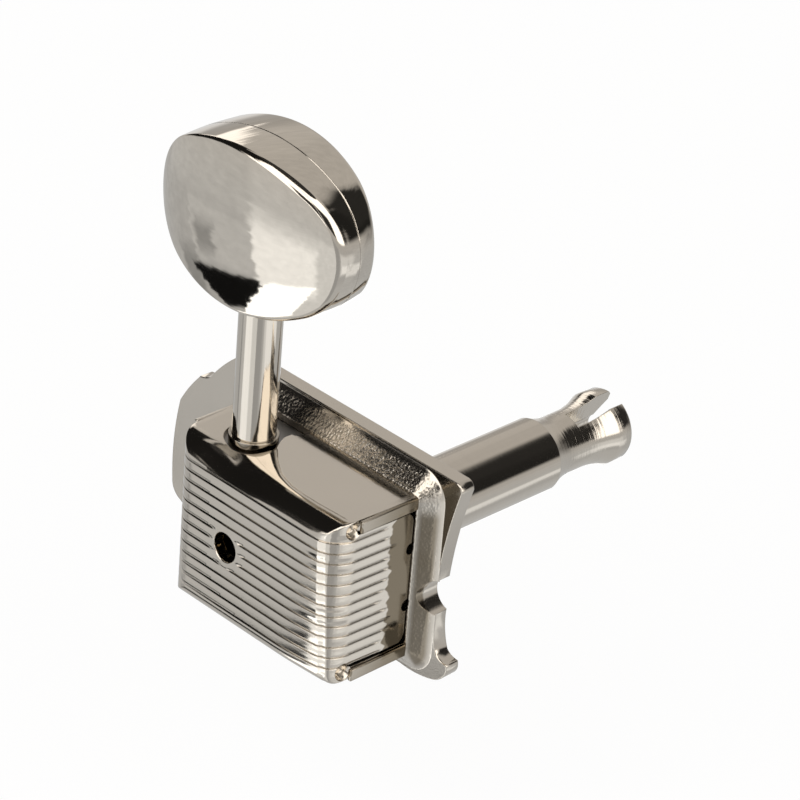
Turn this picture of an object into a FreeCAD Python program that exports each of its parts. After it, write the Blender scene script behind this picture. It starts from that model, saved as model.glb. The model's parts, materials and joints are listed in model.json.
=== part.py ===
import FreeCAD, Part
import math
import os
import Sketcher

# Guitar tuning machine: a worm on the button's shaft turns a wheel on the slotted string post.
# Millimetres. Origin where the post's axis meets the plate's mounting face, +Y along the post to
# its slotted tip, +Z up the button shaft, +X along the edge of the headstock.

# Counts and angles
WHEEL_TEETH = 15
GROOVE_COUNT = 13
PRESSURE_ANGLE = 20.0
POST_TURN = 17.2
BUTTON_TURN = 3.0

# Curves of outlines, and shares of the sizes that they follow
QUARTER_BULGE = math.tan(math.pi / 8)
NECK_BULGE = 0.113
FLARE_BULGE = 0.098
RIVET_CROWN_SHARE = 0.75
BUTTON_CORNER_SHARES = (0.7216, 0.7216)

# Plate's outline from the lower middle round the scalloped end and the long ear: across as a
# share of the reach to that side, up as a share of half the height, and the bulge after it
PLATE_RIGHT_SHARES = (
    (0.540, -1.000, 0.100),
    (0.872, -0.964, 0.200),
    (1.000, -0.840, 0.220),
    (1.000, -0.742, -0.220),
    (0.890, -0.697, -0.120),
    (0.843, -0.337, 0.0),
    (0.843, 0.003, -0.050),
    (0.996, 0.922, 0.350),
    (0.938, 1.000, 0.0),
)
PLATE_LEFT_SHARES = (
    (0.656, 1.000, 0.080),
    (0.818, 0.614, -0.120),
    (0.872, 0.566, 0.060),
    (0.976, 0.218, 0.080),
    (0.999, -0.636, 0.300),
    (0.948, -0.786, 0.080),
    (0.700, -1.000, 0.0),
)

# Lengths
LENGTHS = {
    # String post
    "post_diameter": 6.0,
    "post_bearing": 5.5,
    "post_reach": 26.0,
    "post_shoulder": 17.6,
    "waist_diameter": 4.85,
    "waist_start": 20.1,
    "waist_end": 21.4,
    "flare_end": 24.3,
    "tip_chamfer": 0.35,
    "slot_width": 1.55,
    "slot_depth": 5.1,
    "string_bore": 2.0,
    "string_bore_depth": 9.0,
    "bore_mouth": 4.1,
    "bore_mouth_depth": 1.1,
    "tang_diameter": 4.4,
    "tang_flats": 3.6,
    "rivet_diameter": 5.2,
    "rivet_height": 0.7,
    # Worm and wheel
    "tooth_module": 0.6,
    "tooth_addendum": 0.5,
    "tooth_dedendum": 0.62,
    "tooth_play": 0.07,
    "worm_pitch_diameter": 4.12,
    "worm_length": 8.4,
    "thread_length": 6.0,
    "gear_setback": 6.3,
    "wheel_width": 3.4,
    "hub_diameter": 7.4,
    "wheel_washer_width": 8.6,
    "wheel_washer_thickness": 0.5,
    # Button shaft
    "stem_diameter": 3.34,
    "stem_top": 22.4,
    "journal_diameter": 2.4,
    "collar_diameter": 3.8,
    "collar_height": 0.8,
    "thrust_washer_width": 4.6,
    "thrust_washer_thickness": 0.4,
    "bush_wall": 0.48,
    "bush_sink": 0.45,
    "bush_flange": 0.75,
    # Stamped cover
    "cover_width": 17.75,
    "cover_height": 13.7,
    "cover_front": 10.4,
    "cover_shift": 2.0,
    "cover_wall": 1.0,
    "flap_proud": 0.3,
    "side_corner": 1.2,
    "side_bend": 2.0,
    "top_bend": 1.7,
    "bottom_bend": 1.0,
    "corner_slit": 0.25,
    "relief_diameter": 0.9,
    "relief_back": 1.9,
    "groove_pitch": 0.893,
    "groove_top": 1.67,
    "groove_width": 0.24,
    "groove_depth": 0.18,
    "groove_reach": 5.9,
    "oil_hole": 2.38,
    "oil_rim": 0.55,
    "oil_offset": 4.64,
    "oil_drop": 0.3,
    "tab_width": 4.9,
    "tab_relief": 1.0,
    "tab_fold": 2.2,
    "seam_gap": 0.2,
    "tab_gap": 0.05,
    "tab_ease": 0.35,
    # Stamped base plate
    "plate_wall": 1.3,
    "plate_rise": 1.2,
    "plate_height": 17.7,
    "plate_right": 10.2,
    "plate_left": 20.9,
    "shoulder_run": 1.6,
    "shoulder_margin": 0.15,
    "shoulder_wall": 1.35,
    "notch_diameter": 3.0,
    "notch_offset": 8.9,
    "notch_drop": 1.47,
    "ear_hole": 3.0,
    "ear_hole_offset": 16.3,
    "collar_wall": 1.3,
    # Button
    "button_length": 18.4,
    "button_height": 13.2,
    "button_thickness": 7.6,
    "button_rim_top": 6.3,
    "button_rim_end": 3.0,
    "button_centre": 25.0,
    "sleeve_diameter": 4.6,
    "sleeve_sink": 0.5,
    # Fits
    "running_gap": 0.05,
    "press_gap": 0.02,
    "overrun": 1.0,
}


class Size:
    """A number together with the spreadsheet formula that gives it."""

    def __init__(self, value, text):
        self.value = value
        self.text = text

    def joined(self, other, sign, value):
        return Size(value, "(%s %s %s)" % (self.text, sign, other.text))

    def __add__(self, other):
        other = as_size(other)
        return self.joined(other, "+", self.value + other.value)

    def __radd__(self, other):
        return as_size(other) + self

    def __sub__(self, other):
        other = as_size(other)
        return self.joined(other, "-", self.value - other.value)

    def __rsub__(self, other):
        return as_size(other) - self

    def __mul__(self, other):
        other = as_size(other)
        return self.joined(other, "*", self.value * other.value)

    def __rmul__(self, other):
        return as_size(other) * self

    def __truediv__(self, other):
        other = as_size(other)
        return self.joined(other, "/", self.value / other.value)

    def __neg__(self):
        return Size(-self.value, "(0 - %s)" % self.text)

    def __float__(self):
        return self.value


def as_size(number):
    if isinstance(number, Size):
        return number
    return Size(float(number), repr(float(number)))


document = FreeCAD.newDocument("tuning_machine")
sheet = document.addObject("Spreadsheet::Sheet", "sizes")


def fill_sheet(lengths):
    """Write each named length beside its name and return the names as sizes."""
    named = {}
    for row, (name, value) in enumerate(lengths.items(), start=1):
        sheet.set("A%d" % row, name)
        sheet.set("B%d" % row, str(value))
        sheet.setAlias("B%d" % row, name)
        named[name] = Size(value, "sizes.%s" % name)
    return named


L = fill_sheet(LENGTHS)
document.recompute()

# Places that several pieces share
pan_front = L["plate_wall"] + L["plate_rise"]
post_radius = L["post_diameter"] / 2
bearing_radius = L["post_bearing"] / 2
wheel_pitch_radius = L["tooth_module"] * WHEEL_TEETH / 2
worm_pitch_radius = L["worm_pitch_diameter"] / 2
stem_offset = wheel_pitch_radius + worm_pitch_radius
stem_radius = L["stem_diameter"] / 2
journal_radius = L["journal_diameter"] / 2
cover_half_width = L["cover_width"] / 2
cover_half_height = L["cover_height"] / 2
cover_right = cover_half_width - L["cover_shift"]
cover_left = cover_half_width + L["cover_shift"]
cover_inner_front = L["cover_front"] - L["cover_wall"]
flap_inner = cover_half_height - L["cover_wall"]
worm_half_length = L["worm_length"] / 2
washer_inner = worm_half_length + L["running_gap"]
washer_outer = washer_inner + L["thrust_washer_thickness"]
bush_inner = washer_outer + L["running_gap"]
bush_top = cover_half_height - L["bush_sink"]
hub_face = pan_front + L["wheel_washer_thickness"] + L["running_gap"]
wheel_back = L["gear_setback"] - L["wheel_width"] / 2
wheel_front = L["gear_setback"] + L["wheel_width"] / 2
lead_angle = math.atan(float(L["tooth_module"]) / float(L["worm_pitch_diameter"]))
tooth_pitch = L["tooth_module"] * math.pi
sleeve_low = L["button_centre"] - L["button_height"] / 2 + L["sleeve_sink"]


def bind(item, prop, amount):
    """Give a property its size, by formula where the size comes from the sheet."""
    amount = as_size(amount)
    item.setExpression(prop, amount.text)


def place(item, x=0, y=0, z=0, axis=None, angle=0):
    """Put a sub-part at its formula-driven position."""
    if axis is not None:
        item.Placement = FreeCAD.Placement(FreeCAD.Vector(), FreeCAD.Rotation(axis, angle))
    for letter, amount in (("x", x), ("y", y), ("z", z)):
        if isinstance(amount, Size):
            bind(item, "Placement.Base." + letter, amount)


def new_body(label):
    body = document.addObject("PartDesign::Body", label + "_body")
    body.Label = label
    return body


def origin_item(body, role):
    for item in body.Origin.OriginFeatures:
        if item.Role == role:
            return item
    raise ValueError("no origin item " + role)


def new_sketch(body, name, role, lift=0, turn=0):
    """Sketch on one of the body's origin planes, lifted along its normal and turned in it."""
    sketch = body.newObject("Sketcher::SketchObject", name)
    sketch.AttachmentSupport = (origin_item(body, role), [""])
    sketch.MapMode = "FlatFace"
    spin = FreeCAD.Rotation(FreeCAD.Vector(0, 0, 1), turn)
    sketch.AttachmentOffset = FreeCAD.Placement(FreeCAD.Vector(), spin)
    if isinstance(lift, Size):
        bind(sketch, "AttachmentOffset.Base.z", lift)
    return sketch


def fix_point(sketch, constraints, formulas, edge, end, point):
    for kind, amount in (("DistanceX", point[0]), ("DistanceY", point[1])):
        amount = as_size(amount)
        formulas.append((len(constraints), amount))
        constraints.append(Sketcher.Constraint(kind, edge, end, amount.value))


def draw_outline(sketch, points):
    """Closed outline through points (x, y), each with an optional bulge of the side after it.

    The bulge is the tangent of a quarter of the arc's angle, positive to the right of travel.
    """
    constraints = []
    formulas = []
    count = len(points)
    first = sketch.GeometryCount
    for number, point in enumerate(points):
        following = points[(number + 1) % count]
        start = FreeCAD.Vector(float(point[0]), float(point[1]), 0)
        finish = FreeCAD.Vector(float(following[0]), float(following[1]), 0)
        if bulge_of(point):
            chord = finish - start
            side = FreeCAD.Vector(chord.y, -chord.x, 0) * (point[2] / 2)
            middle = (start + finish) * 0.5 + side
            sketch.addGeometry(Part.Arc(start, middle, finish), False)
        else:
            sketch.addGeometry(Part.LineSegment(start, finish), False)
    for number, point in enumerate(points):
        edge = first + number
        before = first + (number - 1) % count
        begin = begins_at(sketch, edge, point)
        ended = 3 - begins_at(sketch, before, points[(number - 1) % count])
        constraints.append(Sketcher.Constraint("Coincident", before, ended, edge, begin))
        fix_point(sketch, constraints, formulas, edge, begin, point)
        if bulge_of(point):
            radius = arc_radius(point, points[(number + 1) % count])
            formulas.append((len(constraints), radius))
            constraints.append(Sketcher.Constraint("Radius", edge, radius.value))
    offset = sketch.ConstraintCount
    sketch.addConstraint(constraints)
    for number, amount in formulas:
        bind(sketch, "Constraints[%d]" % (offset + number), amount)


def bulge_of(point):
    return point[2] if len(point) == 3 else 0.0


def arc_radius(point, following):
    """Radius of the bulged side between two points."""
    across = as_size(following[0]) - point[0]
    up = as_size(following[1]) - point[1]
    square = across * across + up * up
    chord = Size(math.sqrt(square.value), "sqrt(%s)" % square.text)
    bulge = abs(point[2])
    return chord * ((1 + bulge * bulge) / (4 * bulge))


def begins_at(sketch, edge, point):
    """Which end of an edge lies on the point: 1 for its start, 2 for its end."""
    target = FreeCAD.Vector(float(point[0]), float(point[1]), 0)
    start = sketch.getPoint(edge, 1)
    finish = sketch.getPoint(edge, 2)
    return 1 if (start - target).Length <= (finish - target).Length else 2


def draw_circle(sketch, x, y, radius):
    """Circle whose centre and radius follow the sheet."""
    centre = FreeCAD.Vector(float(x), float(y), 0)
    edge = sketch.addGeometry(Part.Circle(centre, FreeCAD.Vector(0, 0, 1), float(radius)), False)
    constraints = []
    formulas = []
    fix_point(sketch, constraints, formulas, edge, 3, (x, y))
    formulas.append((len(constraints), as_size(radius)))
    constraints.append(Sketcher.Constraint("Radius", edge, float(radius)))
    offset = sketch.ConstraintCount
    sketch.addConstraint(constraints)
    for number, amount in formulas:
        bind(sketch, "Constraints[%d]" % (offset + number), amount)


def draw_box(sketch, left, bottom, right, top):
    draw_outline(sketch, [(left, bottom), (right, bottom), (right, top), (left, top)])


def add_feature(body, kind, name, sketch, length, backwards=False, midplane=False):
    """Pad or Pocket of a sketch; the caller picks the side that it goes to."""
    feature = body.newObject("PartDesign::" + kind, name)
    feature.Profile = sketch
    bind(feature, "Length", length)
    feature.Reversed = backwards
    if midplane:
        feature.SideType = "Symmetric"
    document.recompute()
    return feature


def cut_checked(body, name, sketch, length, backwards=False, midplane=False):
    """Pocket that must take material away."""
    before = body.Shape.Volume
    feature = add_feature(body, "Pocket", name, sketch, length, backwards, midplane)
    if body.Shape.Volume >= before:
        raise ValueError("%s cuts nothing" % name)
    return feature


def revolve(body, name, sketch, axis_name):
    feature = body.newObject("PartDesign::Revolution", name)
    feature.Profile = sketch
    feature.ReferenceAxis = (sketch, [axis_name])
    feature.Angle = 360.0
    document.recompute()
    return feature


def ring(label, plane, outer, inner, low, high):
    """Plain turned ring between two distances from one of the origin planes."""
    body = new_body(label)
    sketch = new_sketch(body, label + "_ring", plane, low)
    draw_circle(sketch, 0, 0, outer)
    draw_circle(sketch, 0, 0, inner)
    add_feature(body, "Pad", label + "_pad", sketch, high - low)
    return body


def build_string_post():
    """Turned post: tang and rivet head inside the case, waisted and slotted tip outside."""
    body = new_body("string_post")
    profile = new_sketch(body, "post_profile", "XY_Plane")
    waist = L["waist_diameter"] / 2
    tip = L["post_reach"]
    tang = L["tang_diameter"] / 2
    rivet = L["rivet_diameter"] / 2
    rivet_top = -(wheel_front + L["rivet_height"])
    draw_outline(profile, [
        (0, rivet_top),
        (rivet * RIVET_CROWN_SHARE, rivet_top),
        (rivet, -wheel_front),
        (tang, -wheel_front),
        (tang, -hub_face),
        (bearing_radius, -hub_face),
        (bearing_radius, 0),
        (post_radius, 0),
        (post_radius, L["post_shoulder"], -NECK_BULGE),
        (waist, L["waist_start"]),
        (waist, L["waist_end"], -FLARE_BULGE),
        (post_radius, L["flare_end"]),
        (post_radius, tip - L["tip_chamfer"]),
        (post_radius - L["tip_chamfer"], tip),
        (0, tip),
    ])
    revolve(body, "post_turning", profile, "V_Axis")
    flats = new_sketch(body, "tang_flats", "XZ_Plane", hub_face)
    half_flats = L["tang_flats"] / 2
    draw_box(flats, -post_radius, half_flats, post_radius, post_radius)
    draw_box(flats, -post_radius, -post_radius, post_radius, -half_flats)
    cut_checked(body, "tang_flat_cut", flats, wheel_front - hub_face, backwards=True)
    slot = new_sketch(body, "string_slot", "XZ_Plane", -tip)
    half_slot = L["slot_width"] / 2
    draw_box(slot, -half_slot, -L["post_diameter"], half_slot, L["post_diameter"])
    cut_checked(body, "string_slot_cut", slot, L["slot_depth"], backwards=True)
    bore = new_sketch(body, "string_bore", "XZ_Plane", -tip)
    draw_circle(bore, 0, 0, L["string_bore"] / 2)
    cut_checked(body, "string_bore_cut", bore, L["string_bore_depth"], backwards=True)
    mouth = new_sketch(body, "bore_mouth", "XY_Plane")
    draw_outline(mouth, [
        (0, tip),
        (L["bore_mouth"] / 2, tip),
        (L["string_bore"] / 2, tip - L["bore_mouth_depth"]),
        (0, tip - L["bore_mouth_depth"]),
    ])
    groove = body.newObject("PartDesign::Groove", "bore_mouth_cut")
    groove.Profile = mouth
    groove.ReferenceAxis = (mouth, ["V_Axis"])
    groove.Angle = 360.0
    document.recompute()
    place(body, axis=FreeCAD.Vector(0, 1, 0), angle=POST_TURN)
    return body


def involute_gap(radius):
    """Half the angle of the gap between two wheel teeth at a radius."""
    pitch_radius = float(wheel_pitch_radius)
    base_radius = pitch_radius * math.cos(math.radians(PRESSURE_ANGLE))
    tooth = (float(tooth_pitch) / 2 - float(L["tooth_play"])) / 2 / pitch_radius
    start = math.radians(PRESSURE_ANGLE)
    lean = math.acos(base_radius / max(radius, base_radius))
    half_tooth = tooth + (math.tan(start) - start) - (math.tan(lean) - lean)
    return math.pi / WHEEL_TEETH - half_tooth


def gap_outline(sketch):
    """Tooth gap beside the tooth that points at the worm, from root to beyond the tip."""
    pitch_radius = float(wheel_pitch_radius)
    base_radius = pitch_radius * math.cos(math.radians(PRESSURE_ANGLE))
    root_radius = pitch_radius - float(L["tooth_dedendum"])
    tip_radius = pitch_radius + float(L["tooth_addendum"])
    outer_radius = tip_radius + float(L["tooth_module"])
    heading = math.pi - math.pi / WHEEL_TEETH
    radii = [root_radius, base_radius, pitch_radius, (pitch_radius + tip_radius) / 2, tip_radius]
    flank = [(radius, involute_gap(radius)) for radius in radii]
    flank.append((outer_radius, involute_gap(tip_radius)))
    corners = [(radius, -half) for radius, half in flank]
    corners += [(radius, half) for radius, half in reversed(flank)]
    places = []
    for radius, half in corners:
        angle = heading + half
        places.append(FreeCAD.Vector(radius * math.cos(angle), radius * math.sin(angle), 0))
    for number, spot in enumerate(places):
        sketch.addGeometry(Part.LineSegment(spot, places[(number + 1) % len(places)]), False)
    for number in range(len(places)):
        following = (number + 1) % len(places)
        sketch.addConstraint(Sketcher.Constraint("Coincident", number, 2, following, 1))


def build_worm_wheel():
    """Brass wheel with teeth slanted at the worm's lead angle, and a hub towards the plate."""
    body = new_body("worm_wheel")
    blank = new_sketch(body, "wheel_blank", "XZ_Plane", wheel_back)
    draw_circle(blank, 0, 0, wheel_pitch_radius + L["tooth_addendum"])
    add_feature(body, "Pad", "wheel_blank_pad", blank, L["wheel_width"])
    twist = math.degrees(math.tan(lead_angle) * float(L["wheel_width"]) / 2
                         / float(wheel_pitch_radius))
    ends = []
    for name, lift, turn in (("gap_back", wheel_back, -twist), ("gap_front", wheel_front, twist)):
        sketch = new_sketch(body, name, "XZ_Plane", lift, turn)
        gap_outline(sketch)
        ends.append(sketch)
    gap = body.newObject("PartDesign::SubtractiveLoft", "tooth_gap")
    gap.Profile = ends[0]
    gap.Sections = [ends[1]]
    gap.Ruled = True
    document.recompute()
    teeth = body.newObject("PartDesign::PolarPattern", "tooth_gaps")
    teeth.Originals = [gap]
    teeth.Axis = (blank, ["N_Axis"])
    teeth.Angle = 360.0
    teeth.Occurrences = WHEEL_TEETH
    body.Tip = teeth
    document.recompute()
    hub = new_sketch(body, "wheel_hub", "XZ_Plane", hub_face)
    draw_circle(hub, 0, 0, L["hub_diameter"] / 2)
    add_feature(body, "Pad", "wheel_hub_pad", hub, wheel_back - hub_face)
    half_flats = L["tang_flats"] / 2 + L["press_gap"]
    tang = L["tang_diameter"] / 2 + L["press_gap"]
    corner = (tang * tang - half_flats * half_flats)
    reach = Size(math.sqrt(float(corner)), "sqrt(%s)" % corner.text)
    bulge = float(tang - reach) / float(half_flats)
    bore = new_sketch(body, "tang_bore", "XZ_Plane", hub_face, -POST_TURN)
    draw_outline(bore, [
        (-reach, -half_flats),
        (reach, -half_flats, bulge),
        (reach, half_flats),
        (-reach, half_flats, bulge),
    ])
    cut_checked(body, "tang_bore_cut", bore, wheel_front - hub_face, backwards=True)
    return body


def build_worm_shaft():
    """One turned shaft: thread groove cut into a thick blank, stem above, journal below."""
    body = new_body("worm_shaft")
    crest = worm_pitch_radius + L["tooth_addendum"]
    root = worm_pitch_radius - L["tooth_dedendum"]
    thread_half_length = L["thread_length"] / 2
    blank = new_sketch(body, "worm_blank", "XY_Plane", -thread_half_length)
    draw_circle(blank, 0, 0, crest)
    add_feature(body, "Pad", "worm_blank_pad", blank, L["thread_length"])
    slope = math.tan(math.radians(PRESSURE_ANGLE))
    outer = crest + L["tooth_dedendum"]
    half_pitch = tooth_pitch / 4 + L["tooth_play"] / 2
    half_outer = half_pitch + (outer - worm_pitch_radius) * slope
    half_root = half_pitch - (worm_pitch_radius - root) * slope
    turns_each_way = math.ceil(float(thread_half_length / tooth_pitch)) + 1
    low = -turns_each_way * tooth_pitch
    groove = new_sketch(body, "thread_groove", "XZ_Plane")
    draw_outline(groove, [
        (root, low - half_root),
        (outer, low - half_outer),
        (outer, low + half_outer),
        (root, low + half_root),
    ])
    thread = body.newObject("PartDesign::SubtractiveHelix", "thread")
    thread.Profile = groove
    thread.ReferenceAxis = (groove, ["V_Axis"])
    thread.Mode = "pitch-height-angle"
    bind(thread, "Pitch", tooth_pitch)
    bind(thread, "Height", turns_each_way * 2 * tooth_pitch)
    thread.Angle = 0.0
    thread.LeftHanded = False
    document.recompute()
    spindle = new_sketch(body, "spindle_profile", "XZ_Plane")
    foot = cover_half_height - L["bush_sink"]
    draw_outline(spindle, [
        (0, -foot),
        (journal_radius, -foot),
        (journal_radius, -worm_half_length),
        (root, -worm_half_length),
        (root, worm_half_length),
        (stem_radius, worm_half_length),
        (stem_radius, L["stem_top"]),
        (0, L["stem_top"]),
    ])
    revolve(body, "spindle", spindle, "V_Axis")
    place(body, x=-stem_offset, y=-L["gear_setback"])
    return body


def build_shaft_ring(label, outer, inner, low, high):
    """Ring that sits round the button shaft."""
    body = ring(label, "XY_Plane", outer, inner, low, high)
    place(body, x=-stem_offset, y=-L["gear_setback"])
    return body


def build_bush(label, bore_radius, top):
    """Bearing bush: round flange inside the cover, slot-shaped neck that fills the open slot."""
    body = new_body(label)
    neck_radius = bore_radius + L["bush_wall"]
    neck_end = L["gear_setback"] - pan_front - L["running_gap"]
    flange_radius = neck_radius + L["bush_flange"]
    flange_low = bush_inner if top else -flap_inner
    flange = new_sketch(body, label + "_flange", "XY_Plane", flange_low)
    draw_circle(flange, 0, 0, flange_radius)
    add_feature(body, "Pad", label + "_flange_pad", flange, flap_inner - bush_inner)
    neck_low = flap_inner if top else -bush_top
    neck = new_sketch(body, label + "_neck", "XY_Plane", neck_low)
    draw_outline(neck, [
        (-neck_radius, neck_end),
        (-neck_radius, 0, QUARTER_BULGE),
        (0, -neck_radius, QUARTER_BULGE),
        (neck_radius, 0),
        (neck_radius, neck_end),
    ])
    add_feature(body, "Pad", label + "_neck_pad", neck, bush_top - flap_inner)
    bore = new_sketch(body, label + "_bore", "XY_Plane", bush_top)
    draw_circle(bore, 0, 0, bore_radius)
    cut_checked(body, label + "_bore_cut", bore, 2 * bush_top)
    place(body, x=-stem_offset, y=-L["gear_setback"])
    return body


def cut_shaft_slot(body, name, radius, top):
    """Slot in a flap, open towards the plate, that lets the cover slide over the shaft."""
    lift = cover_half_height if top else -flap_inner
    sketch = new_sketch(body, name, "XY_Plane", lift)
    back = L["overrun"] - pan_front
    centre = -L["gear_setback"]
    draw_outline(sketch, [
        (-stem_offset - radius, back),
        (-stem_offset - radius, centre, QUARTER_BULGE),
        (-stem_offset, centre - radius, QUARTER_BULGE),
        (-stem_offset + radius, centre),
        (-stem_offset + radius, back),
    ])
    cut_checked(body, name + "_cut", sketch, L["cover_wall"])


def build_cover():
    """Folded sheet cover: ridged front and sides, plain top and bottom flaps, clinched tabs."""
    body = new_body("cover")
    wall = L["cover_wall"]
    front = -L["cover_front"]
    back = -pan_front
    bend = L["side_bend"]
    over = L["overrun"]
    bulge = QUARTER_BULGE
    plan = new_sketch(body, "cover_plan", "XY_Plane")
    draw_outline(plan, [
        (-cover_left, back),
        (-cover_left, front + bend, bulge),
        (-cover_left + bend, front),
        (cover_right - bend, front, bulge),
        (cover_right, front + bend),
        (cover_right, back),
    ])
    add_feature(body, "Pad", "cover_block", plan, L["cover_height"], midplane=True)
    rolls = new_sketch(body, "flap_rolls", "YZ_Plane", -L["cover_shift"])
    roll = L["top_bend"]
    draw_outline(rolls, [
        (front - over, cover_half_height - roll),
        (front, cover_half_height - roll, -bulge),
        (front + roll, cover_half_height),
        (front + roll, cover_half_height + over),
        (front - over, cover_half_height + over),
    ])
    roll = L["bottom_bend"]
    draw_outline(rolls, [
        (front - over, -cover_half_height - over),
        (front + roll, -cover_half_height - over),
        (front + roll, -cover_half_height, -bulge),
        (front, -cover_half_height + roll),
        (front - over, -cover_half_height + roll),
    ])
    cut_checked(body, "flap_roll_cut", rolls, L["cover_width"] + over, midplane=True)
    hollow = new_sketch(body, "cover_hollow", "XZ_Plane", pan_front)
    draw_box(hollow, wall - cover_left, -flap_inner, cover_right - wall, flap_inner)
    cut_checked(body, "cover_hollow_cut", hollow, cover_inner_front - pan_front, backwards=True)
    cut_cover_corners(body)
    add_flap_ends(body)
    cut_shaft_slot(body, "top_slot", stem_radius + L["running_gap"] + L["bush_wall"]
                   + L["running_gap"], True)
    cut_shaft_slot(body, "bottom_slot", journal_radius + L["running_gap"] + L["bush_wall"]
                   + L["running_gap"], False)
    cut_grooves(body)
    add_oil_hole(body)
    add_tabs(body)
    return body


def cut_cover_corners(body):
    """Open slits between flaps and sides, with a relief hole at the end of each, and the seam."""
    seams = new_sketch(body, "corner_slits", "YZ_Plane", -L["cover_shift"])
    slit_end = L["relief_back"] - L["cover_front"]
    back = L["overrun"] - pan_front
    relief = L["relief_diameter"] / 2
    slit = L["corner_slit"]
    for sign in (1, -1):
        inner = sign * (flap_inner - slit)
        outer = sign * flap_inner
        low, high = (inner, outer) if sign == 1 else (outer, inner)
        draw_box(seams, slit_end, low, back, high)
    cut_checked(body, "corner_slit_cut", seams, L["cover_width"] + L["overrun"], midplane=True)
    holes = new_sketch(body, "corner_reliefs", "YZ_Plane", -L["cover_shift"])
    for sign in (1, -1):
        draw_circle(holes, slit_end, sign * (flap_inner - slit / 2), relief)
    cut_checked(body, "corner_relief_cut", holes, L["cover_width"] + L["overrun"], midplane=True)
    gaps = new_sketch(body, "side_seams", "YZ_Plane", -L["cover_shift"])
    half_tab = L["tab_width"] / 2
    seam = -pan_front - L["seam_gap"]
    edge = flap_inner - slit / 2
    corner = L["side_corner"]
    draw_outline(gaps, [
        (seam, half_tab),
        (back, half_tab),
        (back, edge),
        (seam - corner, edge, -QUARTER_BULGE),
        (seam, edge - corner),
    ])
    draw_outline(gaps, [
        (seam, -half_tab),
        (seam, corner - edge, -QUARTER_BULGE),
        (seam - corner, -edge),
        (back, -edge),
        (back, -half_tab),
    ])
    cut_checked(body, "side_seam_cut", gaps, L["cover_width"] + L["overrun"], midplane=True)
    holes = new_sketch(body, "tab_reliefs", "YZ_Plane", -L["cover_shift"])
    for sign in (1, -1):
        draw_circle(holes, seam, sign * half_tab, L["tab_relief"] / 2)
    cut_checked(body, "tab_relief_cut", holes, L["cover_width"] + L["overrun"], midplane=True)


def add_flap_ends(body):
    """Ends of the two flaps, a little proud of the side walls."""
    for name, low in (("top_flap", flap_inner), ("bottom_flap", -cover_half_height)):
        flap = new_sketch(body, name, "XY_Plane", low)
        back = -pan_front
        front = L["relief_back"] - L["cover_front"]
        proud = L["flap_proud"]
        wall = L["cover_wall"]
        draw_box(flap, -cover_left - proud, front, wall - cover_left, back)
        draw_box(flap, cover_right - wall, front, cover_right + proud, back)
        add_feature(body, "Pad", name + "_pad", flap, wall)


def cut_grooves(body):
    """Even grooves across the front that carry on round the bends and along the sides."""
    depth = L["groove_depth"]
    over = L["overrun"]
    front = -L["cover_front"]
    bend = L["side_bend"]
    reach = L["groove_reach"] - L["cover_front"]
    bulge = QUARTER_BULGE
    top = cover_half_height - L["groove_top"]
    band = new_sketch(body, "groove_band", "XY_Plane", top)
    draw_outline(band, [
        (-cover_left - over, reach),
        (-cover_left - over, front - over),
        (cover_right + over, front - over),
        (cover_right + over, reach),
        (cover_right - depth, reach),
        (cover_right - depth, front + bend, -bulge),
        (cover_right - bend, front + depth),
        (-cover_left + bend, front + depth, -bulge),
        (-cover_left + depth, front + bend),
        (-cover_left + depth, reach),
    ])
    groove = cut_checked(body, "groove", band, L["groove_width"], midplane=True)
    grooves = body.newObject("PartDesign::LinearPattern", "grooves")
    grooves.Originals = [groove]
    grooves.Direction = (band, ["N_Axis"])
    grooves.Reversed = True
    bind(grooves, "Length", (GROOVE_COUNT - 1) * L["groove_pitch"])
    grooves.Occurrences = GROOVE_COUNT
    body.Tip = grooves
    document.recompute()


def add_oil_hole(body):
    """Oil hole over the worm, with a smooth rim that interrupts the grooves."""
    radius = L["oil_hole"] / 2
    rim = new_sketch(body, "oil_rim", "XZ_Plane", cover_inner_front)
    draw_circle(rim, -L["oil_offset"], -L["oil_drop"], radius + L["oil_rim"])
    add_feature(body, "Pad", "oil_rim_pad", rim, L["cover_wall"])
    hole = new_sketch(body, "oil_hole", "XZ_Plane", L["cover_front"])
    draw_circle(hole, -L["oil_offset"], -L["oil_drop"], radius)
    cut_checked(body, "oil_hole_cut", hole, L["cover_wall"])


def add_tabs(body):
    """Tabs from the two sides, through the plate's slots and folded flat in its recess."""
    wall = L["cover_wall"]
    half_tab = L["tab_width"] / 2 - L["tab_relief"] / 2
    fold_face = L["press_gap"] - L["plate_rise"]
    fold_back = fold_face + wall
    for side, outer, inward in (("left", -cover_left, 1), ("right", cover_right, -1)):
        tab = new_sketch(body, side + "_tab", "XY_Plane")
        corner = outer + inward * wall
        end = outer + inward * L["tab_fold"]
        points = [
            (outer, -pan_front - L["seam_gap"]),
            (corner, -pan_front - L["seam_gap"]),
            (corner, fold_face),
            (end, fold_face),
            (end, fold_back),
            (outer, fold_back),
        ]
        draw_outline(tab, points)
        add_feature(body, "Pad", side + "_tab_pad", tab, 2 * half_tab, midplane=True)


def shifted(shares, reach, half_height):
    """Outline points from shares of a reach and of half the height."""
    return [(reach * across, half_height * up, bulge) for across, up, bulge in shares]


def draw_cover_footprint(sketch, margin):
    """Box with a margin round the cover's footprint."""
    high = cover_half_height + margin
    draw_box(sketch, -cover_left - margin, -high, cover_right + margin, high)


def loft_between(body, kind, name, first, last):
    loft = body.newObject("PartDesign::" + kind, name)
    loft.Profile = first
    loft.Sections = [last]
    loft.Ruled = True
    document.recompute()
    return loft


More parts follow.
